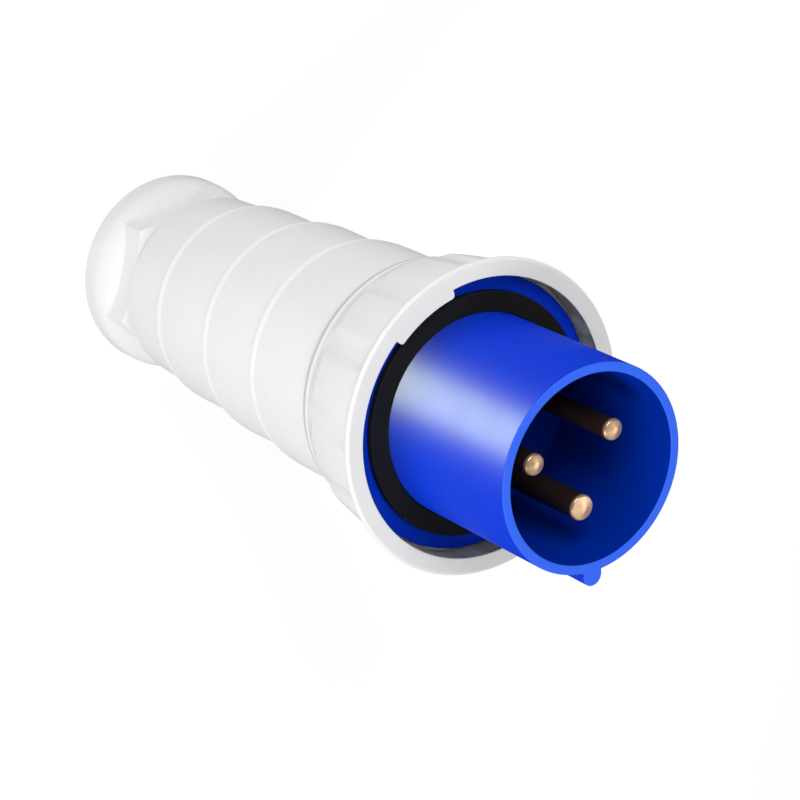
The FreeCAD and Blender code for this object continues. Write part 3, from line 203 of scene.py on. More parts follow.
def moulded_surface_group() -> bpy.types.ShaderNodeTree:
    """Build the group for a moulded surface: clouded colour, uneven gloss and fine grain.

    One attribute paints a lighter colour on marked rows, a painted highlight; another paints a darker colour,
    a painted shade, with a matt roughness in sheltered spots.

    Returns:
        A group that puts out Colour, Roughness and Normal.
    """
    tree = bpy.data.node_groups.new("moulded_surface", "ShaderNodeTree")
    add_sockets(
        tree,
        {"Colour": "NodeSocketColor", "Second Colour": "NodeSocketColor",
         "Cloud Size": "NodeSocketFloat", "Cloud Amount": "NodeSocketFloat",
         "Roughness": "NodeSocketFloat", "Gloss Spread": "NodeSocketFloat",
         "Grain Size": "NodeSocketFloat", "Grain Height": "NodeSocketFloat",
         "Edge Colour": "NodeSocketColor", "Deep Colour": "NodeSocketColor",
         "Deep Roughness": "NodeSocketFloat"},
        {"Colour": "NodeSocketColor", "Roughness": "NodeSocketFloat", "Normal": "NodeSocketVector"},
    )
    work = Wiring(tree)
    given = work.node("NodeGroupInput").outputs
    place = work.node("ShaderNodeTexCoord").outputs["Object"]

    def noise(size: bpy.types.NodeSocket, detail: float) -> bpy.types.NodeSocket:
        """Add noise whose lumps have a size in millimetres.

        Args:
            size: the lumps' size.
            detail: how many finer layers it has.

        Returns:
            The noise's output.
        """
        made = work.node("ShaderNodeTexNoise")
        work.feed(made.inputs["Vector"], place)
        work.feed(made.inputs["Scale"], work.sum("DIVIDE", 1 / MM, size))
        made.inputs["Detail"].default_value = detail
        return made.outputs["Fac"]

    cloud = noise(given["Cloud Size"], 3.0)
    grain = noise(given["Grain Size"], 1.0)
    mixed = work.node("ShaderNodeMix", data_type="RGBA")
    clouded = work.ramp(cloud, *CLOUD_ENDS)
    work.feed(mixed.inputs[0], work.sum("MULTIPLY", clouded, given["Cloud Amount"]))
    work.feed(mixed.inputs[6], given["Colour"])
    work.feed(mixed.inputs[7], given["Second Colour"])
    # Painted highlight: a lighter colour mixed in where the first attribute is 1.
    painted_light_mix = work.node("ShaderNodeMix", data_type="RGBA")
    work.feed(painted_light_mix.inputs[0], work.node("ShaderNodeAttribute", attribute_name=PAINTED_LIGHT_MARK).outputs["Fac"])
    work.feed(painted_light_mix.inputs[6], mixed.outputs[2])
    work.feed(painted_light_mix.inputs[7], given["Edge Colour"])
    # Painted shade: a darker colour mixed in where the second attribute is 1.
    deep = work.node("ShaderNodeAttribute", attribute_name=PAINTED_SHADE_MARK).outputs["Fac"]
    shaded = work.node("ShaderNodeMix", data_type="RGBA")
    work.feed(shaded.inputs[0], deep)
    work.feed(shaded.inputs[6], painted_light_mix.outputs[2])
    work.feed(shaded.inputs[7], given["Deep Colour"])
    spread = work.sum("MULTIPLY", work.sum("SUBTRACT", cloud, 0.5), given["Gloss Spread"])
    bump = work.node("ShaderNodeBump")
    work.feed(bump.inputs["Height"], grain)
    work.feed(bump.inputs["Distance"], work.sum("MULTIPLY", given["Grain Height"], MM))
    sent = work.node("NodeGroupOutput").inputs
    work.feed(sent["Colour"], shaded.outputs[2])
    gloss = work.sum("ADD", given["Roughness"], spread, clamp=True)
    matt = work.ramp(deep, 0.0, 1.0, gloss, given["Deep Roughness"], smooth=False)
    work.feed(sent["Roughness"], matt)
    work.feed(sent["Normal"], bump.outputs["Normal"])
    return tree


def turned_metal_group() -> bpy.types.ShaderNodeTree:
    """Build the group for turned metal: fine rings left by the tool, and tarnish.

    One attribute marks the bright bare metal; elsewhere the metal takes a duller colour and less metalness,
    which on the brass pins is painted shade standing in for dark reflections on the shafts.

    Returns:
        A group that puts out Colour, Roughness, Normal and the share of bare metal, Metal.
    """
    tree = bpy.data.node_groups.new("turned_metal", "ShaderNodeTree")
    add_sockets(
        tree,
        {"Colour": "NodeSocketColor", "Tarnish": "NodeSocketColor",
         "Tarnish Amount": "NodeSocketFloat", "Roughness": "NodeSocketFloat",
         "Tool Pitch": "NodeSocketFloat", "Tool Depth": "NodeSocketFloat",
         "Dull Colour": "NodeSocketColor", "Dull Metal": "NodeSocketFloat",
         "Bare Metal": "NodeSocketFloat"},
        {"Colour": "NodeSocketColor", "Roughness": "NodeSocketFloat", "Normal": "NodeSocketVector",
         "Metal": "NodeSocketFloat"},
    )
    work = Wiring(tree)
    given = work.node("NodeGroupInput").outputs
    place = work.node("ShaderNodeTexCoord").outputs["Object"]
    height = work.node("ShaderNodeSeparateXYZ")
    work.feed(height.inputs[0], place)
    turns = work.sum("DIVIDE", work.sum("MULTIPLY", height.outputs["Z"], math.tau / MM), given["Tool Pitch"])
    rings = work.sum("SINE", turns)
    cloud = work.node("ShaderNodeTexNoise")
    work.feed(cloud.inputs["Vector"], place)
    cloud.inputs["Scale"].default_value = TARNISH_SCALE
    cloud.inputs["Detail"].default_value = TARNISH_DETAIL
    patch = work.ramp(cloud.outputs["Fac"], *TARNISH_ENDS)
    mixed = work.node("ShaderNodeMix", data_type="RGBA")
    work.feed(mixed.inputs[0], work.sum("MULTIPLY", patch, given["Tarnish Amount"]))
    work.feed(mixed.inputs[6], given["Colour"])
    work.feed(mixed.inputs[7], given["Tarnish"])
    bare = work.node("ShaderNodeAttribute", attribute_name=PAINTED_LIGHT_MARK).outputs["Fac"]
    # Away from the bright mark the colour is the duller one: painted shade on the brass pin shafts, the plain
    # colour of the steel.
    dull_and_shade_mix = work.node("ShaderNodeMix", data_type="RGBA")
    work.feed(dull_and_shade_mix.inputs[0], bare)
    work.feed(dull_and_shade_mix.inputs[6], given["Dull Colour"])
    work.feed(dull_and_shade_mix.inputs[7], mixed.outputs[2])
    bump = work.node("ShaderNodeBump")
    work.feed(bump.inputs["Height"], rings)
    work.feed(bump.inputs["Distance"], work.sum("MULTIPLY", given["Tool Depth"], MM))
    sent = work.node("NodeGroupOutput").inputs
    work.feed(sent["Colour"], dull_and_shade_mix.outputs[2])
    blur = work.sum("MULTIPLY", patch, TARNISH_ROUGHNESS)
    work.feed(sent["Roughness"], work.sum("ADD", given["Roughness"], blur))
    work.feed(sent["Normal"], bump.outputs["Normal"])
    work.feed(sent["Metal"], work.ramp(bare, 0.0, 1.0, given["Dull Metal"], given["Bare Metal"],
                                      smooth=False))
    return tree


@dataclass(frozen=True)
class MouldedFinish:
    """A moulded plastic or rubber.

    Lengths are millimetres. bounce is the share of its colour that it throws on its neighbours.
    """

    name: str
    colour: Colour
    second_colour: Colour
    # A lighter colour painted as a highlight on marked rows, and a darker one painted as shade in sheltered
    # spots.
    painted_light_colour: Colour
    painted_shade_colour: Colour
    roughness: float
    deep_roughness: float = 0.95
    cloud_size: float = 14.0
    cloud_amount: float = 0.5
    gloss_spread: float = 0.12
    grain_size: float = 0.35
    grain_height: float = 0.012
    specular: float = 0.5
    bounce: float = 1.0

    def material(self, group: bpy.types.ShaderNodeTree) -> bpy.types.Material:
        """Make the finish as a material.

        Args:
            group: the moulded surface group.

        Returns:
            The material.
        """
        made = bpy.data.materials.new(self.name)
        made.use_nodes = True
        work = Wiring(made.node_tree)
        shader = made.node_tree.nodes["Principled BSDF"]
        surface = work.node("ShaderNodeGroup", node_tree=group)
        values = {
            "Colour": self.colour, "Second Colour": self.second_colour,
            "Cloud Size": self.cloud_size, "Cloud Amount": self.cloud_amount,
            "Roughness": self.roughness, "Gloss Spread": self.gloss_spread,
            "Grain Size": self.grain_size, "Grain Height": self.grain_height,
            "Edge Colour": self.painted_light_colour, "Deep Colour": self.painted_shade_colour,
            "Deep Roughness": self.deep_roughness,
        }
        for name, value in values.items():
            surface.inputs[name].default_value = value
        thrown = work.node("ShaderNodeMix", data_type="RGBA", blend_type="MULTIPLY")
        work.feed(thrown.inputs[0], work.node("ShaderNodeLightPath").outputs["Is Diffuse Ray"])
        work.feed(thrown.inputs[6], surface.outputs["Colour"])
        work.feed(thrown.inputs[7], (self.bounce, self.bounce, self.bounce, 1.0))
        work.feed(shader.inputs["Base Color"], thrown.outputs[2])
        work.feed(shader.inputs["Roughness"], surface.outputs["Roughness"])
        work.feed(shader.inputs["Normal"], surface.outputs["Normal"])
        shader.inputs["Specular IOR Level"].default_value = self.specular
        return made


@dataclass(frozen=True)
class MetalFinish:
    """A turned or plated metal, bright where marked and duller elsewhere; on the brass pins the duller colour
    is painted shade.
    """

    name: str
    colour: Colour
    tarnish: Colour
    # The colour away from the bright mark: painted shade on the brass pin shafts, the plain colour of the
    # steel.
    dull_and_shade_colour: Colour
    roughness: float
    dull_metal: float = 1.0
    bare_metal: float = 1.0
    tarnish_amount: float = 0.4
    tool_pitch: float = 0.18
    tool_depth: float = 0.001

    def material(self, group: bpy.types.ShaderNodeTree) -> bpy.types.Material:
        """Make the finish as a material.

        Args:
            group: the turned metal group.

        Returns:
            The material.
        """
        made = bpy.data.materials.new(self.name)
        made.use_nodes = True
        work = Wiring(made.node_tree)
        shader = made.node_tree.nodes["Principled BSDF"]
        surface = work.node("ShaderNodeGroup", node_tree=group)
        values = {
            "Colour": self.colour, "Tarnish": self.tarnish, "Tarnish Amount": self.tarnish_amount,
            "Roughness": self.roughness, "Tool Pitch": self.tool_pitch, "Tool Depth": self.tool_depth,
            "Dull Colour": self.dull_and_shade_colour, "Dull Metal": self.dull_metal,
            "Bare Metal": self.bare_metal,
        }
        for name, value in values.items():
            surface.inputs[name].default_value = value
        work.feed(shader.inputs["Base Color"], surface.outputs["Colour"])
        work.feed(shader.inputs["Roughness"], surface.outputs["Roughness"])
        work.feed(shader.inputs["Normal"], surface.outputs["Normal"])
        work.feed(shader.inputs["Metallic"], surface.outputs["Metal"])
        return made


class Finishes:
    """Every material of the plug, made once."""

    def __init__(self) -> None:
        """Build the shared groups and the materials."""
        moulded = moulded_surface_group()
        turned = turned_metal_group()
        self.of: dict[Slot, bpy.types.Material] = {
            # White: the lighter colour is painted highlight on the tier lips and on a band at the ring's
            # rear; the darker one is painted shade at the ring's rear edge beside the groove.
            Slot.WHITE: MouldedFinish(
                "white_polyamide", tone(240, 240, 240), tone(236, 236, 236), tone(255, 255, 254),
                tone(204, 204, 205), 0.42, grain_size=0.5, grain_height=0.006,
                specular=0.3).material(moulded),
            # Blue: the lighter colour is painted highlight on the sleeve's rim, the darker one painted shade
            # inside the sleeve.
            Slot.BLUE: MouldedFinish(
                "blue_polyamide", tone(2, 58, 218), tone(1, 53, 210), tone(58, 106, 242),
                tone(1, 48, 174), 0.45, grain_size=0.4, grain_height=0.003, gloss_spread=0.06,
                specular=0.03, bounce=0.12).material(moulded),
            Slot.GREY: MouldedFinish(
                "grey_polyamide", tone(150, 152, 158), tone(140, 142, 148), tone(160, 162, 168),
                tone(130, 132, 138), 0.5).material(moulded),
            Slot.RUBBER: MouldedFinish(
                "black_rubber", tone(30, 30, 29), tone(25, 25, 24), tone(40, 40, 39),
                tone(20, 20, 20), 0.6, grain_size=0.25, grain_height=0.01,
                specular=0.2).material(moulded),
            # Brass: the dark brown is painted shade on the pin shafts, standing in for dark reflections.
            Slot.BRASS: MetalFinish(
                "turned_brass", tone(240, 198, 158), tone(224, 176, 136), tone(58, 44, 36), 0.3,
                dull_metal=0.35, bare_metal=0.7, tarnish_amount=0.3, tool_pitch=0.9,
                tool_depth=0.0003).material(turned),
            Slot.STEEL: MetalFinish(
                "plated_steel", tone(176, 176, 182), tone(150, 148, 146), tone(170, 170, 174),
                0.3).material(turned),
        }

        # A darker copy of the blue for the sleeve's inside: painted shade, matt and without specular.
        self.blue_painted_shade = MouldedFinish(
            "blue_polyamide_inside", tone(1, 48, 174), tone(1, 46, 170), tone(58, 106, 242),
            tone(1, 48, 174), 0.95, grain_size=0.4, grain_height=0.003, gloss_spread=0.0,
            specular=0.0, bounce=0.12).material(moulded)

    def dress(self, piece: bpy.types.Object, slot: Slot) -> None:
        """Put one material on the whole of a piece.

        Args:
            piece: the piece.
            slot: whose material it gets.
        """
        if not piece.material_slots:
            piece.data.materials.append(None)
        for held in piece.material_slots:
            held.material = self.of[slot]


@dataclass(frozen=True)
class Corner:
    """One corner of a turned outline.

    radius and height place it, fillet rounds it, and bow is the radius of the arc that
    arrives at it: above 0 the arc lies to the right of the way there, below 0 to the left.
    """

    radius: float
    height: float
    fillet: float = 0.0
    bow: float = 0.0


class Outline:
    """A closed outline that is turned about the plug's axis."""

    ARC_STEP = math.radians(12)

    def __init__(self, corners: Sequence[Corner]) -> None:
        """Keep the corners, in order round the section."""
        self.corners = list(corners)

    def rows(self) -> Rows:
        """Sample the outline.

        Returns:
            Its points as radius and height, with arcs and fillets divided into short runs.
        """
        places: Rows = []
        fillets: list[float] = []
        for index, corner in enumerate(self.corners):
            before = self.corners[index - 1]
            if corner.bow:
                for spot in self._bowed(before, corner):
                    places.append(spot)
                    fillets.append(0.0)
            places.append((corner.radius, corner.height))
            fillets.append(corner.fillet)
        return self._rounded(places, fillets)

    def _bowed(self, start: Corner, end: Corner) -> Rows:
        """Find the points between two corners, on the arc that joins them.

        Args:
            start: the corner that the arc leaves.
            end: the corner that it arrives at, with the arc's bow.

        Returns:
            The points, without the corners.
        """
        begin = np.array((start.radius, start.height))
        finish = np.array((end.radius, end.height))
        chord = finish - begin
        half = np.linalg.norm(chord) / 2
        radius = abs(end.bow)
        right = np.array((chord[1], -chord[0])) / (2 * half) * math.copysign(1, end.bow)
        centre = (begin + finish) / 2 - right * math.sqrt(max(radius ** 2 - half ** 2, 0.0))
        sweep = 2 * math.asin(min(half / radius, 1.0))
        steps = max(6, math.ceil(sweep / self.ARC_STEP))
        first = math.atan2(*(begin - centre)[::-1])
        last = math.atan2(*(finish - centre)[::-1])
        turn = (last - first + math.pi) % math.tau - math.pi
        return [
            tuple(centre + radius * np.array((math.cos(a), math.sin(a))))
            for a in (first + turn * step / steps for step in range(1, steps))
        ]

    def _rounded(self, places: Rows, fillets: list[float]) -> Rows:
        """Put an arc in the place of each corner that has a fillet.

        Args:
            places: the outline's points.
            fillets: each point's fillet radius, 0 for none.

        Returns:
            The outline's points with the fillets' arcs.
        """
        made: Rows = []
        count = len(places)
        for index in range(count):
            here = np.array(places[index])
            if not fillets[index]:
                made.append(tuple(here))
                continue
            back = np.array(places[index - 1]) - here
            ahead = np.array(places[(index + 1) % count]) - here
            back_length, ahead_length = np.linalg.norm(back), np.linalg.norm(ahead)
            back, ahead = back / back_length, ahead / ahead_length
            half = math.acos(max(-1.0, min(1.0, float(back @ ahead)))) / 2
            cut = min(fillets[index] / math.tan(half), 0.45 * back_length, 0.45 * ahead_length)
            radius = cut * math.tan(half)
            middle = (back + ahead) / np.linalg.norm(back + ahead)
            centre = here + middle * radius / math.sin(half)
            turn = math.pi - 2 * half
            steps = max(2, math.ceil(turn / self.ARC_STEP))
            first = here + back * cut - centre
            last = here + ahead * cut - centre
            way = math.copysign(1, first[0] * last[1] - first[1] * last[0])
            for step in range(steps + 1):
                angle = way * turn * step / steps
                spin = np.array(((math.cos(angle), -math.sin(angle)), (math.sin(angle), math.cos(angle))))
                made.append(tuple(centre + spin @ first))
        return made


def columns(step: float, close_ups: Iterable[tuple[float, float, float]] = ()) -> np.ndarray:
    """Angles of the columns of a turned mesh.

    Args:
        step: the usual distance between two, in degrees.
        close_ups: centre, half width and finer step of each stretch that needs more.

    Returns:
        The angles in degrees, from 0 to below 360.
    """
    finer = list(close_ups)
    wanted = []
    for angle in np.arange(0, FULL_TURN, step):
        apart = [abs((angle - centre + 180) % FULL_TURN - 180) - half for centre, half, _ in finer]
        if not apart or min(apart) > step / 2:
            wanted.append(angle)
    for centre, half, small in finer:
        count = max(2, round(2 * half / small))
        wanted += [(centre - half + 2 * half * spot / count) % FULL_TURN for spot in range(count + 1)]
    return np.unique(np.round(wanted, 4))


Shape = Callable[[np.ndarray, np.ndarray, np.ndarray], tuple[np.ndarray, np.ndarray]]


def turned_piece(name: str, rows: Rows, angles: np.ndarray, shape: Shape | None = None,
                 marks: dict[str, np.ndarray] | None = None, centre: tuple[float, float] = (0, 0),
                 ) -> bpy.types.Object:
    """Turn a closed outline about an axis along Z.

    Args:
        name: the piece's name.
        rows: the outline's points as radius and height, in millimetres.
        angles: the columns, in degrees.
        shape: takes radius, height and angle of every point, gives new radius and height.
        marks: numbers for each row, kept as attributes of its points.
        centre: where the axis stands, in millimetres.

    Returns:
        The new piece.
    """
    outline = np.array(rows, float)
    radius, angle = np.meshgrid(outline[:, 0], np.radians(angles))
    height, _ = np.meshgrid(outline[:, 1], angles)
    if shape:
        radius, height = shape(radius, height, np.degrees(angle))
    spots = np.stack((centre[0] + radius * np.cos(angle), centre[1] + radius * np.sin(angle), height), -1)
    across, along = radius.shape
    index = np.arange(across * along).reshape(across, along)
    following = np.roll(index, -1, 0)
    faces = np.stack((index, following, np.roll(following, -1, 1), np.roll(index, -1, 1)), -1)
    mesh = bpy.data.meshes.new(name)
    mesh.from_pydata((spots.reshape(-1, 3) * MM).tolist(), [], faces.reshape(-1, 4).tolist())
    for mark, numbers in (marks or {}).items():
        spread = np.tile(numbers, (across, 1)).astype(np.float32)
        mesh.attributes.new(mark, "FLOAT", "POINT").data.foreach_set("value", spread.ravel())
    work = bmesh.new()
    work.from_mesh(mesh)
    bmesh.ops.remove_doubles(work, verts=work.verts, dist=1e-7)
    bmesh.ops.dissolve_degenerate(work, edges=work.edges, dist=1e-8)
    bmesh.ops.recalc_face_normals(work, faces=work.faces)
    work.to_mesh(mesh)
    work.free()
    piece = bpy.data.objects.new(name, mesh)
    bpy.context.scene.collection.objects.link(piece)
    return piece


def wedge(name: str, rows: Rows, sweep: float) -> bpy.types.Object:
    """Make a closed slice of a turned shape, centred on the X axis.

    Args:
        name: the slice's name.
        rows: its section as radius and height, in millimetres.
        sweep: its width, in degrees.

    Returns:
        The slice, not yet on any body.
    """
    half = math.radians(sweep / 2)
    count = len(rows)
    spots = [(radius * math.cos(turn) * MM, radius * math.sin(turn) * MM, height * MM)
             for turn in (-half, half) for radius, height in rows]
    sides = [(spot, (spot + 1) % count, (spot + 1) % count + count, spot + count) for spot in range(count)]
    mesh = bpy.data.meshes.new(name)
    mesh.from_pydata(spots, [], [tuple(range(count)), tuple(range(count, 2 * count)), *sides])
    work = bmesh.new()
    work.from_mesh(mesh)
    bmesh.ops.recalc_face_normals(work, faces=work.faces)
    work.to_mesh(mesh)
    work.free()
    piece = bpy.data.objects.new(name, mesh)
    bpy.context.scene.collection.objects.link(piece)
    return piece


def drill(piece: bpy.types.Object, trees: dict[str, bpy.types.GeometryNodeTree], rows: Rows,
          circle_r: float, count: int, first: float, pitch: float | None = None) -> None:
    """Cut round holes into a piece, on a circle about the plug's axis.

    Args:
        piece: the piece that gets the holes.
        trees: the geometry trees.
        rows: the section of one hole about its own axis, in millimetres.
        circle_r: the circle that the holes stand on.
        count: how many.
        first: where the first stands, in degrees.
        pitch: degrees to the next, a full turn shared out if not given.
    """
    tool = turned_piece("drill", rows, columns(20.0), centre=(circle_r, 0))
    run_tree(piece, trees["cut"], {
        "Part": tool, "Count": count, "First": first, "Pitch": pitch or FULL_TURN / count})
    bpy.data.objects.remove(tool)


def run_tree(piece: bpy.types.Object, tree: bpy.types.GeometryNodeTree, given: dict[str, Any]) -> None:
    """Run a geometry tree on a piece and keep the result as its plain mesh.

    Args:
        piece: the piece that the tree works on.
        tree: the tree.
        given: values for the tree's named inputs.
    """
    modifier = piece.modifiers.new("shape", "NODES")
    modifier.node_group = tree
    for item in tree.interface.items_tree:
        if item.in_out == "INPUT" and item.name in given:
            modifier[item.identifier] = given[item.name]
    graph = bpy.context.evaluated_depsgraph_get()
    made = bpy.data.meshes.new_from_object(piece.evaluated_get(graph), depsgraph=graph)
    piece.modifiers.remove(modifier)
    made.name = piece.name
    piece.data = made


def seat(piece: bpy.types.Object, body: Body, slot: Slot, *nodes: str) -> None:
    """Smooth a finished piece, put it on its body and hide the nodes that it stands for.

    Args:
        piece: the finished piece.
        body: what it moves with.
        slot: not used.
        nodes: what it stands for.
    """
    piece.data.shade_smooth()
    weighted = piece.modifiers.new("even_normals", "WEIGHTED_NORMAL")
    weighted.weight = 60
    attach(piece, body.value)
    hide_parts(*nodes)
    triangles = sum(len(face.vertices) - 2 for face in piece.data.polygons)
    log.info("%s: %d triangles on %s", piece.name, triangles, body.value)


class Trees:
    """The geometry trees that shape the ring and the nut and repeat small parts."""

    @staticmethod
    def _start(name: str, inputs: dict[str, str]) -> tuple[Wiring, Any, Any]:
        """Begin a tree.

        Args:
            name: the tree's name.
            inputs: its own inputs and their types.

        Returns:
            Its wiring, its inputs and the place of each point.
        """
        tree = bpy.data.node_groups.new(name, "GeometryNodeTree")
        add_sockets(
            tree,
            {"Geometry": "NodeSocketGeometry", **inputs, "Material": "NodeSocketMaterial"},
            {"Geometry": "NodeSocketGeometry"},
        )
        work = Wiring(tree)
        given = work.node("NodeGroupInput").outputs
        place = work.node("ShaderNodeSeparateXYZ")
        work.feed(place.inputs[0], work.node("GeometryNodeInputPosition").outputs[0])
        return work, given, place

    @staticmethod
    def _end(work: Wiring, given: Any, geometry: bpy.types.NodeSocket) -> None:
        """Realise what the tree made and give it its material.

        Args:
            work: the tree's wiring.
            given: the tree's inputs.
            geometry: what it made.
        """
        real = work.node("GeometryNodeRealizeInstances")
        work.feed(real.inputs[0], geometry)
        dressed = work.node("GeometryNodeSetMaterial")
        work.feed(dressed.inputs["Geometry"], real.outputs[0])
        work.feed(dressed.inputs["Material"], given["Material"])
        work.feed(work.node("NodeGroupOutput").inputs["Geometry"], dressed.outputs[0])

    @staticmethod
    def _attribute(work: Wiring, name: str) -> bpy.types.NodeSocket:
        """Read a number that each point carries.

        Args:
            work: the tree's wiring.
            name: the number's name.

        Returns:
            The number's output.
        """
        read = work.node("GeometryNodeInputNamedAttribute", data_type="FLOAT")
        read.inputs["Name"].default_value = name
        return read.outputs["Attribute"]

    @staticmethod
    def _move_out(work: Wiring, given: Any, place: Any, rise: bpy.types.NodeSocket) -> bpy.types.NodeSocket:
        """Move each point away from the axis.

        Args:
            work: the tree's wiring.
            given: the tree's inputs.
            place: the place of each point.
            rise: how far it moves, in millimetres.

        Returns:
            The moved geometry.
        """
        flat = work.node("ShaderNodeCombineXYZ")
        work.feed(flat.inputs["X"], place.outputs["X"])
        work.feed(flat.inputs["Y"], place.outputs["Y"])
        outward = work.node("ShaderNodeVectorMath", operation="NORMALIZE")
        work.feed(outward.inputs[0], flat.outputs[0])
        offset = work.node("ShaderNodeVectorMath", operation="SCALE")
        work.feed(offset.inputs[0], outward.outputs[0])
        work.feed(offset.inputs["Scale"], work.sum("MULTIPLY", rise, MM))
        moved = work.node("GeometryNodeSetPosition")
        work.feed(moved.inputs["Geometry"], given["Geometry"])
        work.feed(moved.inputs["Offset"], offset.outputs[0])
        return moved.outputs[0]

    @classmethod
    def grips(cls) -> bpy.types.GeometryNodeTree:
        """Raise a band of grips round a ring, parted by valleys.

        Returns:
            A tree with the count, turn, widths and softness of the valleys as inputs. Each
            point carries how far it may rise as "rise".
        """
        work, given, place = cls._start("ring_grips", {
            "Count": "NodeSocketInt", "Turn": "NodeSocketFloat",
            "Valley Foot": "NodeSocketFloat", "Valley Top": "NodeSocketFloat",
            "Softness": "NodeSocketFloat",
        })
        angle = work.sum("DEGREES", work.sum("ARCTAN2", place.outputs["Y"], place.outputs["X"]))
        pitch = work.sum("DIVIDE", FULL_TURN, given["Count"])
        shifted = work.sum("ADD", work.sum("SUBTRACT", angle, given["Turn"]), work.sum("DIVIDE", pitch, 2.0))
        within = work.sum("FLOORED_MODULO", shifted, pitch)
        apart = work.sum("ABSOLUTE", work.sum("SUBTRACT", within, work.sum("DIVIDE", pitch, 2.0)))
        foot = work.sum("DIVIDE", given["Valley Foot"], 2.0)
        top = work.sum("DIVIDE", given["Valley Top"], 2.0)
        soft = given["Softness"]
        wave = work.ramp(apart, work.sum("SUBTRACT", foot, soft), work.sum("ADD", top, soft))
        rise = work.sum("MULTIPLY", wave, cls._attribute(work, "rise"))
        cls._end(work, given, cls._move_out(work, given, place, rise))
        return work.tree

    @classmethod
    def hexagon(cls) -> bpy.types.GeometryNodeTree:
        """Let a hexagon grow out of a dome, with a soft seam between the two.

        Returns:
            A tree with the width across flats, turn, seam and corner radius as inputs. Each
            point carries the dome's radius as "dome", the bevel's as "bevel" and 1 on the
            outside as "outer".
        """
        work, given, place = cls._start("nut_hexagon", {
            "Across Flats": "NodeSocketFloat", "Turn": "NodeSocketFloat", "Seam": "NodeSocketFloat",
            "Corner": "NodeSocketFloat",
        })
        angle = work.sum("DEGREES", work.sum("ARCTAN2", place.outputs["Y"], place.outputs["X"]))
        within = work.sum("FLOORED_MODULO", work.sum("SUBTRACT", angle, given["Turn"]), 60.0)
        from_flat = work.sum("RADIANS", work.sum("SUBTRACT", within, 30.0))
        flat = work.sum("DIVIDE", work.sum("MULTIPLY", given["Across Flats"], 0.5),
                        work.sum("COSINE", from_flat))
        flat = work.sum("SMOOTH_MIN", flat, given["Corner"], 0.25)
        dome = cls._attribute(work, "dome")
        sides = work.sum("SMOOTH_MIN", flat, cls._attribute(work, "bevel"), 0.3)
        wanted = work.sum("SMOOTH_MAX", dome, sides, given["Seam"])
        rise = work.sum("MULTIPLY", work.sum("SUBTRACT", wanted, dome), cls._attribute(work, "outer"))
        cls._end(work, given, cls._move_out(work, given, place, rise))
        return work.tree

    @classmethod
    def round_the_axis(cls, cut: bool) -> bpy.types.GeometryNodeTree:
        """Repeat a small part round the plug's axis and join it on, or cut it out.

        Args:
            cut: take the parts away instead of adding them.

        Returns:
            A tree with the part, its count, the first one's turn and the pitch as inputs.
        """
        work, given, _ = cls._start("cut_round_the_axis" if cut else "add_round_the_axis", {
            "Part": "NodeSocketObject", "Count": "NodeSocketInt",
            "First": "NodeSocketFloat", "Pitch": "NodeSocketFloat",
        })
        spots = work.node("GeometryNodePoints")
        work.feed(spots.inputs["Count"], given["Count"])
        part = work.node("GeometryNodeObjectInfo")
        work.feed(part.inputs["Object"], given["Part"])
        index = work.node("GeometryNodeInputIndex").outputs[0]
        angle = work.sum("ADD", work.sum("MULTIPLY", index, given["Pitch"]), given["First"])
        turn = work.node("ShaderNodeCombineXYZ")
        work.feed(turn.inputs["Z"], work.sum("RADIANS", angle))
        placed = work.node("GeometryNodeInstanceOnPoints")
        work.feed(placed.inputs["Points"], spots.outputs[0])
        work.feed(placed.inputs["Instance"], part.outputs["Geometry"])
        work.feed(placed.inputs["Rotation"], turn.outputs[0])
        real = work.node("GeometryNodeRealizeInstances")
        work.feed(real.inputs[0], placed.outputs[0])
        if cut:
            merged = work.node("GeometryNodeMeshBoolean", operation="DIFFERENCE", solver="EXACT")
            work.feed(merged.inputs["Mesh 1"], given["Geometry"])
            work.feed(merged.inputs["Mesh 2"], real.outputs[0])
        else:
            merged = work.node("GeometryNodeJoinGeometry")
            work.feed(merged.inputs[0], real.outputs[0])
            work.feed(merged.inputs[0], given["Geometry"])
        cls._end(work, given, merged.outputs[0])
        return work.tree


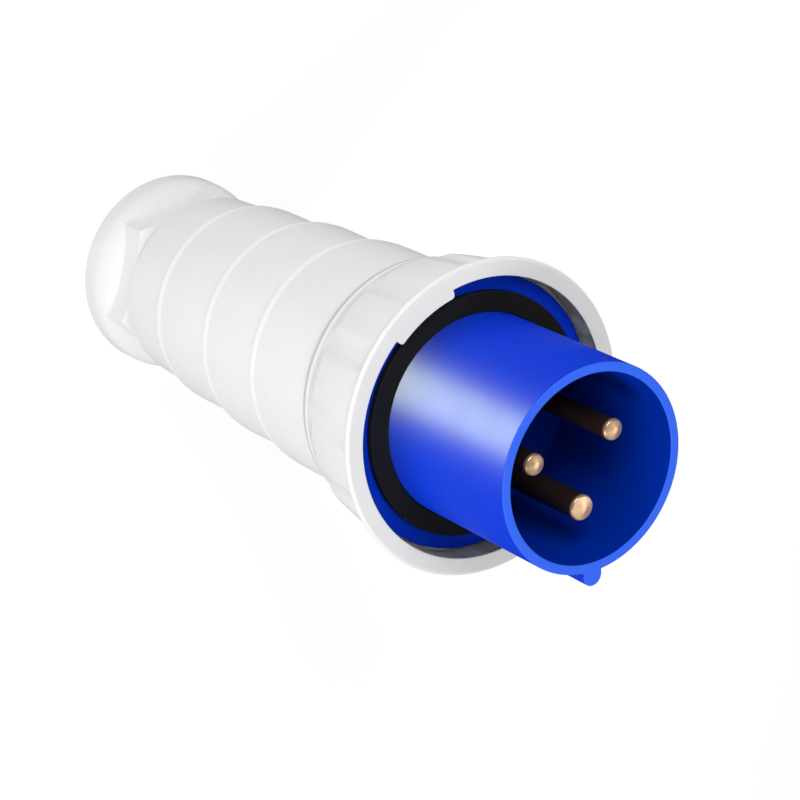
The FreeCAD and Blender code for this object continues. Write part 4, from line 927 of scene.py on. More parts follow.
@dataclass
class BayonetRing:
    """The white ring that locks the plug in a socket."""

    SLIT: ClassVar[float] = 0.01

    rear: float = 168.0
    face: float = 210.3
    rim_r: float = 55.3
    waist_r: float = 50.6
    waist: float = 203.0
    rear_r: float = 45.5
    bore_r: float = 48.6
    mouth_r: float = 49.0
    flange_front: float = 203.0
    hub_bore_r: float = 40.8
    hub_r: float = 42.6
    hub_front: float = 197.5
    shell_front_r: float = 47.6
    shell_rear_r: float = 43.66
    back_wall: float = 6.0
    bulge_r: float = 200.0
    flare_r: float = 7.0
    lug_turns: tuple[float, float] = (119.5, 299.5)
    lug_angle: float = 30.5
    lug_r: float = 46.1
    lug_thickness: float = 4.0
    lug_ramp: float = 1.6
    lug_corner_r: float = 1.2
    grip_count: int = 12
    grip_turn: float = 26.0
    grip_height: float = 1.3
    grip_rear: float = 173.2
    grip_slope: float = 6.0
    groove_end: float = 170.4
    band_end: float = 172.4
    grip_front: float = 206.2
    valley_foot: float = 7.0
    valley_top: float = 10.5
    valley_softness: float = 1.9
    rib_count: int = 7
    rib_angle: float = 2.2
    rib_turn: float = 215.0
    rib_pitch: float = 51.6667
    rib_bite: float = 0.5
    fine_row: float = 0.5
    coarse_row: float = 1.5

    def outline(self) -> Outline:
        """Draw the ring's section, from the hub's rear edge round the outside.

        Returns:
            The section.
        """
        return Outline([
            Corner(self.hub_bore_r, self.rear, 0.3),
            Corner(self.rear_r - 0.9, self.rear),
            Corner(self.rear_r, self.rear + 0.9, 0.0, 0.9),
            Corner(self.waist_r, self.waist, 0.0, self.bulge_r),
            Corner(self.rim_r - 0.6, self.face - 2.5, 0.3, -self.flare_r),
            Corner(self.rim_r, self.face - 1.1, 0.3, 1.8),
            Corner(self.rim_r - 1.1, self.face, 0.3, 1.1),
            Corner(self.mouth_r, self.face, 0.35),
            Corner(self._wall(self._lug_back() + self.SLIT), self._lug_back() + self.SLIT),
            Corner(self._wall(self._lug_back() - self.SLIT), self._lug_back() - self.SLIT),
            Corner(self.bore_r, self.flange_front),
            Corner(self.bore_r, self.hub_front + 0.7, 0.2),
            Corner(self.shell_front_r, self.hub_front),
            Corner(self.shell_rear_r, self.rear + self.back_wall, 0.5),
            Corner(self.hub_r, self.rear + self.back_wall, 0.5),
            Corner(self.hub_r, self.hub_front, 0.2),
            Corner(self.hub_bore_r, self.hub_front, 0.2),
        ])

    def _lug_back(self) -> float:
        """Height of the lugs' sloping backs, at their middle."""
        return self.face - self.lug_thickness + self.lug_ramp / 2

    def _wall(self, height: float) -> float:
        """Radius of the tapered bore at a height."""
        share = np.clip((height - self.flange_front) / (self.face - self.flange_front), 0, 1)
        return self.bore_r + share * (self.mouth_r - self.bore_r)

    def build(self, trees: dict[str, bpy.types.GeometryNodeTree], finishes: Finishes) -> bpy.types.Object:
        """Make the ring.

        Args:
            trees: the geometry trees.
            finishes: the materials.

        Returns:
            The ring.
        """
        rows = self._with_rings(self.outline().rows())
        pitch = FULL_TURN / self.grip_count
        middle = (self.valley_foot + self.valley_top) / 4
        spread = (self.valley_top - self.valley_foot) / 4 + self.valley_softness
        close_ups = []
        for valley in range(self.grip_count):
            for side in (-middle, middle):
                close_ups.append((self.grip_turn + valley * pitch + side, spread, 0.3))
        for turn in self.lug_turns:
            for side in (-1, 1):
                edge = turn + side * self.lug_angle / 2
                close_ups.append((edge - side * 0.75, 0.77, 0.1))
                close_ups.append((edge, 0.01, 0.01))
        rise = np.array([self._rise(radius, height) for radius, height in rows])
        outside = [(radius > self.rear_r - 1.2, height) for radius, height in rows]
        # Painted shade with a matt roughness on the ring's rear edge beside the groove, and painted highlight
        # on the band just ahead of it.
        band = np.array([
            float(out and self.groove_end < height <= self.band_end) for out, height in outside])
        groove_shade = np.array([float(out and height <= self.groove_end) for out, height in outside])
        piece = turned_piece(
            "coupling_ring_body", rows, columns(1.25, close_ups), self._lugs,
            {"rise": rise, PAINTED_LIGHT_MARK: band, PAINTED_SHADE_MARK: groove_shade})
        run_tree(piece, trees["grips"], {
            "Count": self.grip_count, "Turn": self.grip_turn, "Valley Foot": self.valley_foot,
            "Valley Top": self.valley_top, "Softness": self.valley_softness,
            "Material": finishes.of[Slot.WHITE],
        })
        rib = self._rib()
        run_tree(piece, trees["add"], {
            "Part": rib, "Count": self.rib_count, "First": self.rib_turn, "Pitch": self.rib_pitch,
            "Material": finishes.of[Slot.WHITE],
        })
        bpy.data.objects.remove(rib)
        seat(piece, Body.RING, Slot.WHITE, "bayonet_ring")
        return piece

    def _rib(self) -> bpy.types.Object:
        """Make one rib between the hub and the shell, on the X axis.

        Returns:
            The rib, not yet on the ring.
        """
        low = self.rear + self.back_wall - self.rib_bite
        high = self.hub_front - 0.2
        rows = [
            (self.hub_r - self.rib_bite, low),
            (self.shell_rear_r + self.rib_bite, low),
            (self.shell_front_r + self.rib_bite, high),
            (self.hub_r - self.rib_bite, high),
        ]
        return wedge("rib", rows, self.rib_angle)

    def _with_rings(self, rows: Rows) -> Rows:
        """Add rows along the outside, so that the grips' ends are round.

        Args:
            rows: the section's points.

        Returns:
            The points with the new rows among them.
        """
        made: Rows = []
        for index, here in enumerate(rows):
            made.append(here)
            there = rows[(index + 1) % len(rows)]
            outside = min(here[0], there[0]) > self.rear_r - 0.1 and here[1] < there[1]
            length = there[1] - here[1]
            if outside and length > 1.0:
                on_slope = here[1] < self.grip_rear + self.grip_slope
                count = math.ceil(length / (self.fine_row if on_slope else self.coarse_row))
                for step in range(1, count):
                    share = step / count
                    made.append((here[0] + share * (there[0] - here[0]), here[1] + share * length))
        return made

    def _rise(self, radius: float, height: float) -> float:
        """Find how far the outside may rise into a grip.

        Args:
            radius: the row's radius.
            height: its height.

        Returns:
            The rise in millimetres, 0 away from the grips.
        """
        outside = radius > self.rear_r - 0.1 and self.grip_rear - 1 < height < self.grip_front + 2
        if not outside or radius > self.waist_r + self.grip_height or height > self.face - 1.5:
            return 0.0
        start = (height - self.grip_rear) / self.grip_slope
        eased = min(max(start, 0.0), 1.0)
        full = self.grip_height * eased * eased * (3 - 2 * eased)
        if height <= self.waist:
            return full
        return max(min(full, self.waist_r + self.grip_height - radius), 0.0)

    def _lugs(self, radius: np.ndarray, height: np.ndarray, angle: np.ndarray,
              ) -> tuple[np.ndarray, np.ndarray]:
        """Draw the two lugs in from the front bore, with rounded corners and sloping backs.

        Args:
            radius, height, angle: of every point of the ring.

        Returns:
            The new radius and height of every point.
        """
        wall = self._wall(height)
        on_wall = (radius < wall + 0.5) & (radius > self.bore_r - 0.01)
        near_back = on_wall & (np.abs(height - self._lug_back()) < 2 * self.SLIT)
        drawn, leaned = radius.copy(), height.copy()
        for turn in self.lug_turns:
            apart = (angle - turn + 180) % FULL_TURN - 180
            inside = np.radians(self.lug_angle / 2 - np.abs(apart)) * self.lug_r
            corner = np.clip(inside, 0, self.lug_corner_r)
            round_off = self.lug_corner_r - np.sqrt(
                self.lug_corner_r ** 2 - (self.lug_corner_r - corner) ** 2)
            depth = np.where(inside > 0, wall - self.lug_r - round_off, 0)
            lean = np.where(inside > 0, -apart / self.lug_angle * self.lug_ramp, 0)
            drawn -= np.where(on_wall & (height > self._lug_back()), depth, 0)
            leaned += np.where(near_back, lean, 0)
        return drawn, leaned


@dataclass
class TieredHousing:
    """The white housing with its three stepped tiers."""

    neck_end: float = 13.5
    rear: float = 32.0
    rear_rim_r: float = 35.4
    thread_r: float = 28.6
    gland_bore_r: float = 26.0
    edges: tuple[float, ...] = (57.1, 93.9, 129.5)
    edge_r: tuple[float, ...] = (38.3, 40.7, 42.7)
    foot_r: tuple[float, ...] = (36.0, 37.4, 39.5)
    step: float = 1.6
    lip: float = 3.5
    lip_rise: float = 0.35
    barrel_r: float = 400.0
    front_r: float = 42.1
    groove_rear: float = 165.7
    ledge: float = 167.7
    ledge_r: float = 41.7
    neck_r: float = 40.5
    front: float = 199.0
    front_bore_r: float = 34.0
    bore_end: float = 185.5
    cavity_front_r: float = 36.0
    cavity_rear_r: float = 32.4
    cavity_floor: float = 40.0
    throat_r: float = 22.5
    screw_circle_r: float = 38.2
    screw_hole_r: float = 1.5
    screw_count: int = 4
    screw_turn: float = 45.0
    thread_end: float = 186.5

    def outline(self) -> Outline:
        """Draw the housing's section, from the gland neck round the outside.

        Returns:
            The section.
        """
        corners = [
            Corner(self.gland_bore_r, self.neck_end),
            Corner(self.thread_r - 1, self.neck_end, 0.2),
            Corner(self.thread_r, self.neck_end + 1, 0.2),
            Corner(self.thread_r, self.rear - 2),
            Corner(self.thread_r - 0.8, self.rear - 1.2),
            Corner(self.thread_r - 0.8, self.rear, 0.3),
            Corner(self.rear_rim_r, self.rear, 0.7),
        ]
        for edge, edge_r, foot_r in zip(self.edges, self.edge_r, self.foot_r):
            corners += [
                Corner(foot_r, edge - self.step, 0.35, self.barrel_r),
                Corner(edge_r - self.lip_rise, edge, 0.4),
                Corner(edge_r, edge + self.lip, 0.5),
            ]
        corners += [
            Corner(self.front_r, self.groove_rear, 0.6, self.barrel_r),
            Corner(self.neck_r, self.groove_rear, 0.3),
            Corner(self.ledge_r, self.ledge),
            Corner(self.neck_r, self.ledge),
            Corner(self.neck_r, self.front, 0.3),
            Corner(self.front_bore_r, self.front, 0.3),
            Corner(self.front_bore_r, self.bore_end, 0.2),
            Corner(self.cavity_front_r, self.bore_end - 3, 1.5),
            Corner(self.cavity_rear_r, self.cavity_floor, 2.0),
            Corner(self.throat_r, self.cavity_floor - 6, 0.4),
            Corner(self.throat_r, self.cavity_floor - 10),
            Corner(self.gland_bore_r, self.cavity_floor - 10),
        ]
        return Outline(corners)

    def build(self, trees: dict[str, bpy.types.GeometryNodeTree], finishes: Finishes) -> bpy.types.Object:
        """Make the housing.

        Args:
            trees: the geometry trees.
            finishes: the materials.

        Returns:
            The housing.
        """
        rows = self.outline().rows()
        # Painted highlight: a lighter colour on the lip at the rear of each tier.
        lip_highlight = np.array([self._lip_highlight(*row) for row in rows])
        piece = turned_piece("housing_shell", rows, columns(1.5), marks={PAINTED_LIGHT_MARK: lip_highlight})
        round_hole = [(0.0, self.thread_end), (self.screw_hole_r, self.thread_end),
                      (self.screw_hole_r, self.front + 1), (0.0, self.front + 1)]
        drill(piece, trees, round_hole, self.screw_circle_r, self.screw_count, self.screw_turn)
        finishes.dress(piece, Slot.WHITE)
        seat(piece, Body.PLUG, Slot.WHITE, "housing")
        return piece

    def _lip_highlight(self, radius: float, height: float) -> float:
        """1 on the lip at the rear of a tier, where a lighter colour is painted as a highlight, 0 elsewhere.
        """
        lips = (edge - 0.2 <= height < edge + self.lip for edge in self.edges)
        return 1.0 if radius > self.cavity_front_r + 1 and any(lips) else 0.0


@dataclass
class GlandNut:
    """The white hexagon nut that swells into a round domed flange."""

    length: float = 27.0
    flange_r: float = 37.4
    flange_height: float = 7.0
    dome_r: float = 12.0
    dome_end: float = 18.0
    dome_end_r: float = 30.0
    across_flats: float = 62.4
    turn: float = 14.0
    edge: float = 1.8
    mouth_r: float = 17.0
    back_wall: float = 4.0
    washer_bore_r: float = 23.2
    washer_seat: float = 5.3
    cone_r: float = 26.0
    cone_end: float = 13.2
    bore_r: float = 28.9
    bevel_start_r: float = 31.6
    bevel_slope: float = 2.26
    seam: float = 0.9
    corner_blunt: float = 0.12
    bevel_rows: float = 3.0
    bevel_row: float = 0.26
    dome_row: float = 0.45

    def build(self, trees: dict[str, bpy.types.GeometryNodeTree], finishes: Finishes) -> bpy.types.Object:
        """Make the nut.

        Args:
            trees: the geometry trees.
            finishes: the materials.

        Returns:
            The nut.
        """
        outer = Outline([
            Corner(self.mouth_r, 0.0, 0.5),
            Corner(self.flange_r, 0.0, self.edge),
            Corner(self.flange_r, self.flange_height, 3.0),
            Corner(self.dome_end_r, self.dome_end, 0.0, self.dome_r),
            Corner(self.dome_end_r, self.length - 2.6),
            Corner(self.dome_end_r, self.length),
            Corner(self.bore_r + 1.3, self.length - 0.001),
            Corner(self.bore_r, self.length - 1.3, 0.3),
            Corner(self.bore_r, self.cone_end),
            Corner(self.cone_r, self.cone_end),
            Corner(self.washer_bore_r, self.washer_seat),
            Corner(self.washer_bore_r, self.back_wall),
            Corner(self.mouth_r, self.back_wall, 0.5),
        ])
        rows = self._with_levels(outer.rows())
        dome = np.array([radius for radius, _ in rows])
        bevel = np.array([
            self.bevel_start_r + (self.length - height) * self.bevel_slope for _, height in rows])
        outside = np.array([
            1.0 if radius > self.dome_end_r - 0.01 and height > self.edge else 0.0
            for radius, height in rows])
        corners = [(self.turn + 60 * side, 3.0, 0.3) for side in range(6)]
        piece = turned_piece(
            "gland_nut_body", rows, columns(1.0, corners),
            marks={"dome": dome, "bevel": bevel, "outer": outside})
        run_tree(piece, trees["hexagon"], {
            "Across Flats": self.across_flats, "Turn": self.turn, "Seam": self.seam,
            "Corner": self.across_flats / 2 / math.cos(math.radians(30)) - self.corner_blunt,
            "Material": finishes.of[Slot.WHITE],
        })
        seat(piece, Body.NUT, Slot.WHITE, "gland_nut")
        return piece

    def _with_levels(self, rows: Rows) -> Rows:
        """Add rows on the outside, where dome, flats and bevel meet.

        Args:
            rows: the section's points.

        Returns:
            The points with the new rows among them.
        """
        made: Rows = []
        for index, here in enumerate(rows):
            made.append(here)
            there = rows[(index + 1) % len(rows)]
            outside = min(here[0], there[0]) > self.dome_end_r - 0.01 and there[1] - here[1] > 0.5
            if outside and here[1] >= self.flange_height - 1:
                spacing = self.bevel_row if here[1] > self.length - self.bevel_rows else self.dome_row
                count = math.ceil((there[1] - here[1]) / spacing)
                for step in range(1, count):
                    share = step / count
                    made.append((here[0] + share * (there[0] - here[0]),
                                 here[1] + share * (there[1] - here[1])))
        return made


@dataclass
class ContactSleeve:
    """The blue moulding: sleeve, floor, flange, spigot and key rib."""

    mouth: float = 268.0
    floor: float = 210.0
    block_back: float = 198.0
    outer_r: float = 35.5
    wall: float = 3.3
    flange_r: float = 48.0
    flange_front: float = 203.0
    flange_back: float = 199.0
    spigot_r: float = 33.7
    spigot_bore_r: float = 30.0
    spigot_end: float = 186.0
    seal_groove_r: float = 31.8
    seal_low: float = 190.4
    seal_high: float = 192.6
    edge: float = 0.5
    rib_width: float = 7.0
    rib_height: float = 5.0
    rib_turn: float = 270.0
    stop_turn: float = 210.0
    stop_angle: float = 7.0
    stop_r: tuple[float, float] = (43.2, 45.8)
    stop_end: float = 191.0
    pin_circle_r: float = 16.8
    pin_hole_r: tuple[float, float] = (5.1, 4.4)
    pin_turns: tuple[float, float] = (-82.0, 26.0)
    pin_pitch: float = 144.0
    collar_seat: tuple[float, float] = (8.1, 201.0)
    retainer_circle_r: float = 26.3
    retainer_hole_r: float = 1.6
    retainer_turn: float = 35.0
    retainer_end: float = 206.5
    screw_circle_r: float = 38.2
    screw_hole_r: float = 1.5
    screw_head_r: float = 2.6
    screw_turn: float = 45.0

    def outline(self) -> Outline:
        """Draw the section, from the block's back round the outside to the floor.

        Returns:
            The section.
        """
        bore = self.outer_r - self.wall
        return Outline([
            Corner(0.0, self.block_back),
            Corner(self.spigot_bore_r, self.block_back, 0.4),
            Corner(self.spigot_bore_r, self.spigot_end, 0.2),
            Corner(self.spigot_r, self.spigot_end, self.edge),
            Corner(self.spigot_r, self.seal_low, 0.1),
            Corner(self.seal_groove_r, self.seal_low),
            Corner(self.seal_groove_r, self.seal_high),
            Corner(self.spigot_r, self.seal_high, 0.1),
            Corner(self.spigot_r, self.flange_back),
            Corner(self.flange_r, self.flange_back, 0.3),
            Corner(self.flange_r, self.flange_front, self.edge),
            Corner(self.outer_r, self.flange_front, 0.3),
            Corner(self.outer_r, self.mouth, self.edge),
            Corner(bore, self.mouth, self.edge),
            Corner(bore, self.floor, 0.3),
            Corner(0.0, self.floor),
        ])

    def _rib(self, radius: np.ndarray, height: np.ndarray, angle: np.ndarray,
             ) -> tuple[np.ndarray, np.ndarray]:
        """Draw the key rib out of the sleeve.

        Args:
            radius, height, angle: of every point of the sleeve.

        Returns:
            The new radius and height of every point.
        """
        half = self.rib_width / 2
        centre = self.outer_r + self.rib_height - half
        apart = np.radians((angle - self.rib_turn + 180) % FULL_TURN - 180)
        reach = half ** 2 - (centre * np.sin(apart)) ** 2
        tip = centre * np.cos(apart) + np.sqrt(np.clip(reach, 0, None))
        side = half / np.maximum(np.abs(np.sin(apart)), 1e-6)
        rib_r = np.where(reach > 0, np.minimum(tip, side), side)
        rib_r = np.where(np.abs(apart) > math.radians(9), 0, rib_r)
        on_sleeve = (height > self.flange_front + 0.2) & (radius > self.outer_r - self.edge - 0.01)
        short = self.outer_r - radius
        grown = np.maximum(radius, np.where(on_sleeve, rib_r - short, 0))
        return np.where(on_sleeve & (radius < self.flange_r - 3), grown, radius), height

    def build(self, trees: dict[str, bpy.types.GeometryNodeTree], finishes: Finishes) -> bpy.types.Object:
        """Make the sleeve.

        Args:
            trees: the geometry trees.
            finishes: the materials.

        Returns:
            The sleeve.
        """
        rib = [(self.rib_turn, 4.9, 0.35), (self.rib_turn - 5.4, 0.5, 0.06), (self.rib_turn + 5.4, 0.5, 0.06)]
        rows = self.outline().rows()
        # Painted highlight on the rim, and painted shade with a matt roughness on the inside rows.
        rim_highlight = np.array([1.0 if height > self.mouth - 0.6 * self.edge else 0.0 for _, height in rows])
        bore = self.outer_r - self.wall
        inside = np.array([
            1.0 if radius < bore + 0.1 and self.floor <= height < self.mouth - self.edge / 2 else 0.0
            for radius, height in rows])
        piece = turned_piece(
            "sleeve_moulding", rows, columns(1.5, rib), self._rib, {PAINTED_LIGHT_MARK: rim_highlight, PAINTED_SHADE_MARK: inside})
        self._drill(piece, trees)
        low_r, high_r = self.stop_r
        sunk_in = self.flange_back + 1
        stop = wedge(
            "stop", [(low_r, self.stop_end), (high_r, self.stop_end), (high_r, sunk_in), (low_r, sunk_in)],
            self.stop_angle)
        run_tree(piece, trees["add"], {
            "Part": stop, "Count": 1, "First": self.stop_turn, "Material": finishes.of[Slot.BLUE]})
        bpy.data.objects.remove(stop)
        finishes.dress(piece, Slot.BLUE)
        self._paint_inside_shade(piece, finishes)
        seat(piece, Body.PLUG, Slot.BLUE, "contact_sleeve")
        return piece

    def _paint_inside_shade(self, piece: bpy.types.Object, finishes: Finishes) -> None:
        """Give the inside of the sleeve a darker copy of the blue, a painted shade, matt and without
        specular.

        Args:
            piece: the sleeve.
            finishes: the materials.
        """
        reach = self.outer_r - self.wall + 0.1
        piece.data.materials.append(finishes.blue_painted_shade)
        last = len(piece.data.materials) - 1
        for face in piece.data.polygons:
            across, up, height = (part / MM for part in face.center)
            if math.hypot(across, up) < reach and self.floor - 0.1 < height < self.mouth - self.edge / 2:
                face.material_index = last

    def _drill(self, piece: bpy.types.Object, trees: dict[str, bpy.types.GeometryNodeTree]) -> None:
        """Open the holes for the pins, the retainer's screws and the flange's screws.

        Args:
            piece: the sleeve.
            trees: the geometry trees.
        """
        back, front = self.block_back - 1, self.floor + 1
        seat_r, seat_end = self.collar_seat
        for hole_r, turn, count in zip(self.pin_hole_r, self.pin_turns, (1, 2)):
            hole = [(0.0, back), (seat_r, back), (seat_r, seat_end),
                    (hole_r, seat_end), (hole_r, front), (0.0, front)]
            drill(piece, trees, hole, self.pin_circle_r, count, turn, self.pin_pitch)
        small = [(0.0, back), (self.retainer_hole_r, back), (self.retainer_hole_r, self.retainer_end),
                 (0.0, self.retainer_end)]
        drill(piece, trees, small, self.retainer_circle_r, 3, self.retainer_turn)
        sink_end = self.flange_front - 0.1
        sink_start = sink_end - (self.screw_head_r - self.screw_hole_r)
        sunk = [(0.0, self.flange_back - 1), (self.screw_hole_r, self.flange_back - 1),
                (self.screw_hole_r, sink_start), (self.screw_head_r, sink_end),
                (self.screw_head_r, self.flange_front + 1), (0.0, self.flange_front + 1)]
        drill(piece, trees, sunk, self.screw_circle_r, 4, self.screw_turn)


@dataclass
class FaceGasket:
    """The flat rubber ring on the blue flange."""

    inner_r: float = 35.8
    outer_r: float = 42.7
    low: float = 203.0
    high: float = 205.6
    edge: float = 0.5
    notch_half: float = 3.8
    notch_r: float = 40.8
    notch_turn: float = 270.0

    def _notch(self, radius: np.ndarray, height: np.ndarray, angle: np.ndarray,
               ) -> tuple[np.ndarray, np.ndarray]:
        """Open the notch that the key rib passes through.

        Args:
            radius, height, angle: of every point of the gasket.

        Returns:
            The new radius and height of every point.
        """
        apart = np.radians((angle - self.notch_turn + 180) % FULL_TURN - 180)
        far = self.notch_r / np.cos(apart)
        side = self.notch_half / np.maximum(np.abs(np.sin(apart)), 1e-6)
        opened = np.where(np.abs(apart) < math.radians(9), np.minimum(far, side), 0)
        inner = radius < self.inner_r + 0.6
        return np.where(inner, np.maximum(radius, opened + radius - self.inner_r), radius), height

    def build(self, finishes: Finishes) -> bpy.types.Object:
        """Make the gasket.

        Args:
            finishes: the materials.

        Returns:
            The gasket.
        """
        outline = Outline([
            Corner(self.inner_r, self.low),
            Corner(self.outer_r, self.low, 0.2),
            Corner(self.outer_r, self.high, self.edge),
            Corner(self.inner_r, self.high, 0.25),
        ])
        notch = [(self.notch_turn - 5.7, 0.6, 0.08), (self.notch_turn + 5.7, 0.6, 0.08)]
        piece = turned_piece("gasket_ring", outline.rows(), columns(1.5, notch), self._notch)
        finishes.dress(piece, Slot.RUBBER)
        seat(piece, Body.PLUG, Slot.RUBBER, "face_gasket")
        return piece


@dataclass
class ContactPin:
    """One brass pin with its collar and drilled terminal barrel."""

    node: str
    angle: float
    radius: float
    circle_r: float = 16.8
    root_step: float = 0.6
    floor: float = 210.0
    tip: float = 260.8
    shoulder_drop: float = 1.2
    shoulder_fillet: float = 0.9
    tip_flat_r: float = 1.0
    tip_fillet: float = 2.0
    point: float = 0.2
    bright_length: float = 1.2
    collar_r: float = 8.0
    block_back: float = 198.0
    collar_thickness: float = 3.0
    barrel_r: float = 6.0
    barrel_end: float = 170.0
    wire_bore_r: float = 3.7
    wire_bore_end: float = 188.0

    def build(self, finishes: Finishes) -> bpy.types.Object:
        """Make the pin where it stands.

        Args:
            finishes: the materials.

        Returns:
            The pin.
        """
        shoulder = self.tip - self.shoulder_drop
        outline = Outline([
            Corner(0.0, self.wire_bore_end),
            Corner(self.wire_bore_r, self.wire_bore_end - 1.5),
            Corner(self.wire_bore_r, self.barrel_end, 0.2),
            Corner(self.barrel_r, self.barrel_end, 0.5),
            Corner(self.barrel_r, self.block_back),
            Corner(self.collar_r, self.block_back, 0.3),
            Corner(self.collar_r, self.block_back + self.collar_thickness, 0.3),
            Corner(self.radius + self.root_step, self.block_back + self.collar_thickness),
            Corner(self.radius + self.root_step, self.floor),
            Corner(self.radius, self.floor),
            Corner(self.radius, shoulder - self.bright_length - 0.1),
            Corner(self.radius, shoulder, self.shoulder_fillet),
            Corner(self.tip_flat_r, self.tip - self.point, self.tip_fillet),
            Corner(0.0, self.tip),
        ])
        turn = math.radians(self.angle)
        centre = (self.circle_r * math.cos(turn), self.circle_r * math.sin(turn))
        rows = outline.rows()
        # The tip stays bright; below it the shaft takes the dark brown, a painted shade standing in for dark
        # reflections.
        bright = np.array([
            1.0 if height > shoulder - self.bright_length else 0.0 for _, height in rows])
        piece = turned_piece(self.node + "_body", rows, columns(5.0), marks={PAINTED_LIGHT_MARK: bright}, centre=centre)
        finishes.dress(piece, Slot.BRASS)
        seat(piece, Body.PLUG, Slot.BRASS, self.node)
        return piece


@dataclass
class GlandBush:
    """The rubber bush that grips the cable."""

    bore_r: float = 13.0
    outer_r: float = 21.0
    low: float = 7.6
    high: float = 28.5

    def build(self, finishes: Finishes) -> bpy.types.Object:
        """Make the bush.

        Args:
            finishes: the materials.

        Returns:
            The bush.
        """
        outline = Outline([
            Corner(self.bore_r, self.low, 1.0),
            Corner(self.outer_r, self.low, 1.0),
            Corner(self.outer_r, self.high, 0.2),
            Corner(self.bore_r, self.high, 1.0),
        ])
        piece = turned_piece("bush_sleeve", outline.rows(), columns(4.0))
        finishes.dress(piece, Slot.RUBBER)
        seat(piece, Body.PLUG, Slot.RUBBER, "gland_bush")
        return piece


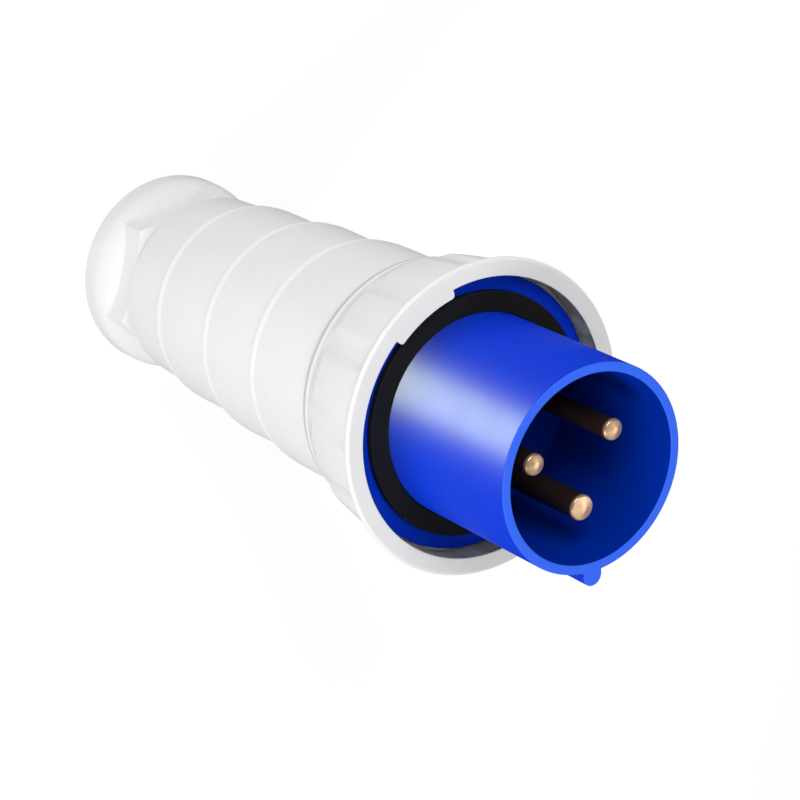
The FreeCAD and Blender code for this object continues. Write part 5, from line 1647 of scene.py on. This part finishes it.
@dataclass
class Studio:
    """Camera at the photo's viewing angle, white floor and soft lights.

    Places are millimetres in the plug's frame.
    """

    camera_place: Place = (-520.7, 338.7, 934.0)
    camera_aim: Place = (54.6, -44.6, 78.3)
    camera_roll: float = 115.88
    lens: float = 128.8
    sensor: float = 36.0
    floor_reach: float = 4000.0
    floor_tone: float = 0.55
    floor_glow: float = 0.55
    floor_light: float = 0.3
    floor_in_gloss: float = 0.02
    sky_light: float = 0.565
    strip_place: Place = (-136.0, 78.0, 92.0)
    strip_size: tuple[float, float] = (112.0, 150.0)
    strip_power: float = 8.6
    strip_colour: Place = (1.0, 1.11, 0.58)
    card_place: Place = (320.0, -215.0, 760.0)
    card_size: tuple[float, float] = (700.0, 700.0)
    card_power: float = 1.9
    glint_place: Place = (360.0, 4.0, 730.0)
    glint_size: tuple[float, float] = (170.0, 170.0)
    glint_power: float = 0.15
    lights: tuple[tuple[str, Place, float, float], ...] = (
        ("key", (-709.0, -497.0, 634.0), 500.0, 4.4),
        ("top", (-242.0, 665.0, 841.0), 500.0, 3.8),
    )

    def build(self) -> None:
        """Set up the camera, the floor, the sky and the lights."""
        self._camera()
        self._floor()
        self._sky()
        for name, place, width, power in self.lights:
            self._light(name, place, width, power)

    def hang_cards(self, sleeve: bpy.types.Object, bush: bpy.types.Object,
                   pins: Sequence[bpy.types.Object]) -> None:
        """Hang the cards that only show as a streak on the sleeve and a glow on the pins.

        Args:
            sleeve: the blue sleeve.
            bush: the only piece that may stand in the streak's light.
            pins: the three pins.
        """
        strip = self._card("strip", self.strip_place, self.strip_size, self.strip_power, [sleeve])
        blockers = bpy.data.collections.new("strip_blockers")
        blockers.objects.link(bush)
        strip.light_linking.blocker_collection = blockers
        strip.data.color = self.strip_colour
        self._card("tip_card", self.card_place, self.card_size, self.card_power, pins)
        self._card("tip_glint", self.glint_place, self.glint_size, self.glint_power, pins)

    def _card(self, name: str, place: Place, size: tuple[float, float], power: float,
              shown_on: Sequence[bpy.types.Object]) -> bpy.types.Object:
        """Hang one card that shows as a reflection on a few pieces.

        Args:
            name: the card's name.
            place: where it hangs.
            size: its two sides.
            power: its light in watts.
            shown_on: the pieces that it shows on.

        Returns:
            The card.
        """
        card = self._light(name, place, size[0], power)
        card.data.shape = "RECTANGLE"
        card.data.size_y = size[1] * MM
        card.visible_diffuse = False
        shown = bpy.data.collections.new(name + "_pieces")
        for piece in shown_on:
            shown.objects.link(piece)
        card.light_linking.receiver_collection = shown
        return card

    def _camera(self) -> None:
        """Put the camera where the photo was taken from."""
        data = bpy.data.cameras.new("photo_camera")
        data.lens = self.lens
        data.sensor_width = self.sensor
        data.clip_end = 100.0
        camera = bpy.data.objects.new("photo_camera", data)
        place = Vector(self.camera_place) * MM
        way = Vector(self.camera_aim) * MM - place
        camera.location = place
        camera.rotation_mode = "QUATERNION"
        roll = Quaternion((0, 0, 1), math.radians(self.camera_roll))
        camera.rotation_quaternion = self._level(way) @ roll
        bpy.context.scene.collection.objects.link(camera)
        bpy.context.scene.camera = camera
        bpy.context.scene.view_settings.view_transform = "Standard"

    @staticmethod
    def _level(way: Vector) -> Quaternion:
        """The turn of something that looks along a line with its top up."""
        return way.to_track_quat("-Z", "Y")

    @staticmethod
    def _by_ray(work: Wiring, lit: float, seen: float, in_gloss: float) -> bpy.types.NodeSocket:
        """Choose a strength by what kind of ray arrives.

        Args:
            work: the material's or the world's wiring.
            lit: the strength for the light that it gives.
            seen: the strength for the camera, and through clear pieces.
            in_gloss: the strength in reflections.

        Returns:
            The strength's output.
        """
        path = work.node("ShaderNodeLightPath")
        direct = work.sum("MAXIMUM", path.outputs["Is Camera Ray"], path.outputs["Is Transmission Ray"])
        shown = work.ramp(direct, 0.0, 1.0, lit, seen, smooth=False)
        return work.ramp(path.outputs["Is Glossy Ray"], 0.0, 1.0, shown, in_gloss, smooth=False)

    def _floor(self) -> None:
        """Lay a pale floor that keeps a soft shadow."""
        reach = self.floor_reach * MM
        mesh = bpy.data.meshes.new("floor")
        drop = -0.05 * MM
        mesh.from_pydata([(-reach, -reach, drop), (reach, -reach, drop), (reach, reach, drop),
                          (-reach, reach, drop)], [], [(0, 1, 2, 3)])
        floor = bpy.data.objects.new("floor", mesh)
        bpy.context.scene.collection.objects.link(floor)
        material = bpy.data.materials.new("white_floor")
        material.cycles.emission_sampling = "NONE"
        material.use_nodes = True
        material.node_tree.nodes.clear()
        work = Wiring(material.node_tree)
        matt = work.node("ShaderNodeBsdfDiffuse")
        shown = self._by_ray(work, self.floor_tone, self.floor_tone, 0.0)
        grey = work.node("ShaderNodeCombineXYZ")
        for axis in grey.inputs:
            work.feed(axis, shown)
        work.feed(matt.inputs["Color"], grey.outputs[0])
        glow = work.node("ShaderNodeEmission")
        work.feed(glow.inputs["Strength"], self._by_ray(
            work, self.floor_light, self.floor_glow, self.floor_in_gloss))
        mixed = work.node("ShaderNodeAddShader")
        work.feed(mixed.inputs[0], matt.outputs[0])
        work.feed(mixed.inputs[1], glow.outputs[0])
        work.feed(work.node("ShaderNodeOutputMaterial").inputs["Surface"], mixed.outputs[0])
        mesh.materials.append(material)

    def _sky(self) -> None:
        """Give even light from all round, white where it is seen."""
        world = bpy.data.worlds.new("studio")
        world.use_nodes = True
        work = Wiring(world.node_tree)
        sky = world.node_tree.nodes["Background"]
        sky.inputs["Color"].default_value = tone(255, 255, 255)
        work.feed(sky.inputs["Strength"], self._by_ray(work, self.sky_light, 1.0, 0.0))
        world.cycles_visibility.glossy = False
        bpy.context.scene.world = world

    def _light(self, name: str, place: Place, width: float, power: float) -> bpy.types.Object:
        """Hang one soft light that points at the middle of the plug.

        Args:
            name: the light's name.
            place: where it hangs.
            width: its side.
            power: its light in watts.

        Returns:
            The light.
        """
        data = bpy.data.lights.new(name, "AREA")
        data.size = width * MM
        data.energy = power
        light = bpy.data.objects.new(name, data)
        middle = (CAD_BOX[0] + CAD_BOX[1]) / 2
        light.location = Vector(place) * MM
        light.rotation_mode = "QUATERNION"
        light.rotation_quaternion = self._level(middle - light.location)
        light.visible_camera = False
        bpy.context.scene.collection.objects.link(light)
        return light


INNER_NODES: dict[str, Slot] = {
    "insert_screws": Slot.STEEL,
    "insert_seal": Slot.RUBBER,
    "pin_retainer": Slot.GREY,
    "retainer_screws": Slot.STEEL,
    "ring_slip_washer": Slot.GREY,
    "gland_cage": Slot.GREY,
    "thrust_washer": Slot.GREY,
    "earth_terminal_screws": Slot.STEEL,
    "live_terminal_screws": Slot.STEEL,
    "neutral_terminal_screws": Slot.STEEL,
    "earth_wire_pad": Slot.STEEL,
    "live_wire_pad": Slot.STEEL,
    "neutral_wire_pad": Slot.STEEL,
}


def main() -> None:
    """Build the studio and dress the plug, piece by piece."""
    logging.basicConfig(level=logging.INFO, format="%(name)s: %(message)s")
    studio = Studio()
    studio.build()
    finishes = Finishes()
    trees = {
        "grips": Trees.grips(), "hexagon": Trees.hexagon(),
        "add": Trees.round_the_axis(cut=False), "cut": Trees.round_the_axis(cut=True),
    }
    BayonetRing().build(trees, finishes)
    TieredHousing().build(trees, finishes)
    GlandNut().build(trees, finishes)
    sleeve = ContactSleeve().build(trees, finishes)
    FaceGasket().build(finishes)
    pins = [
        ContactPin("earth_pin", -82.0, 4.4).build(finishes),
        ContactPin("live_pin", 26.0, 3.7).build(finishes),
        ContactPin("neutral_pin", 170.0, 3.7).build(finishes),
    ]
    bush = GlandBush().build(finishes)
    studio.hang_cards(sleeve, bush, pins)
    for node, slot in INNER_NODES.items():
        finishes.dress(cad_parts[node], slot)


if __name__ == "__main__":
    main()
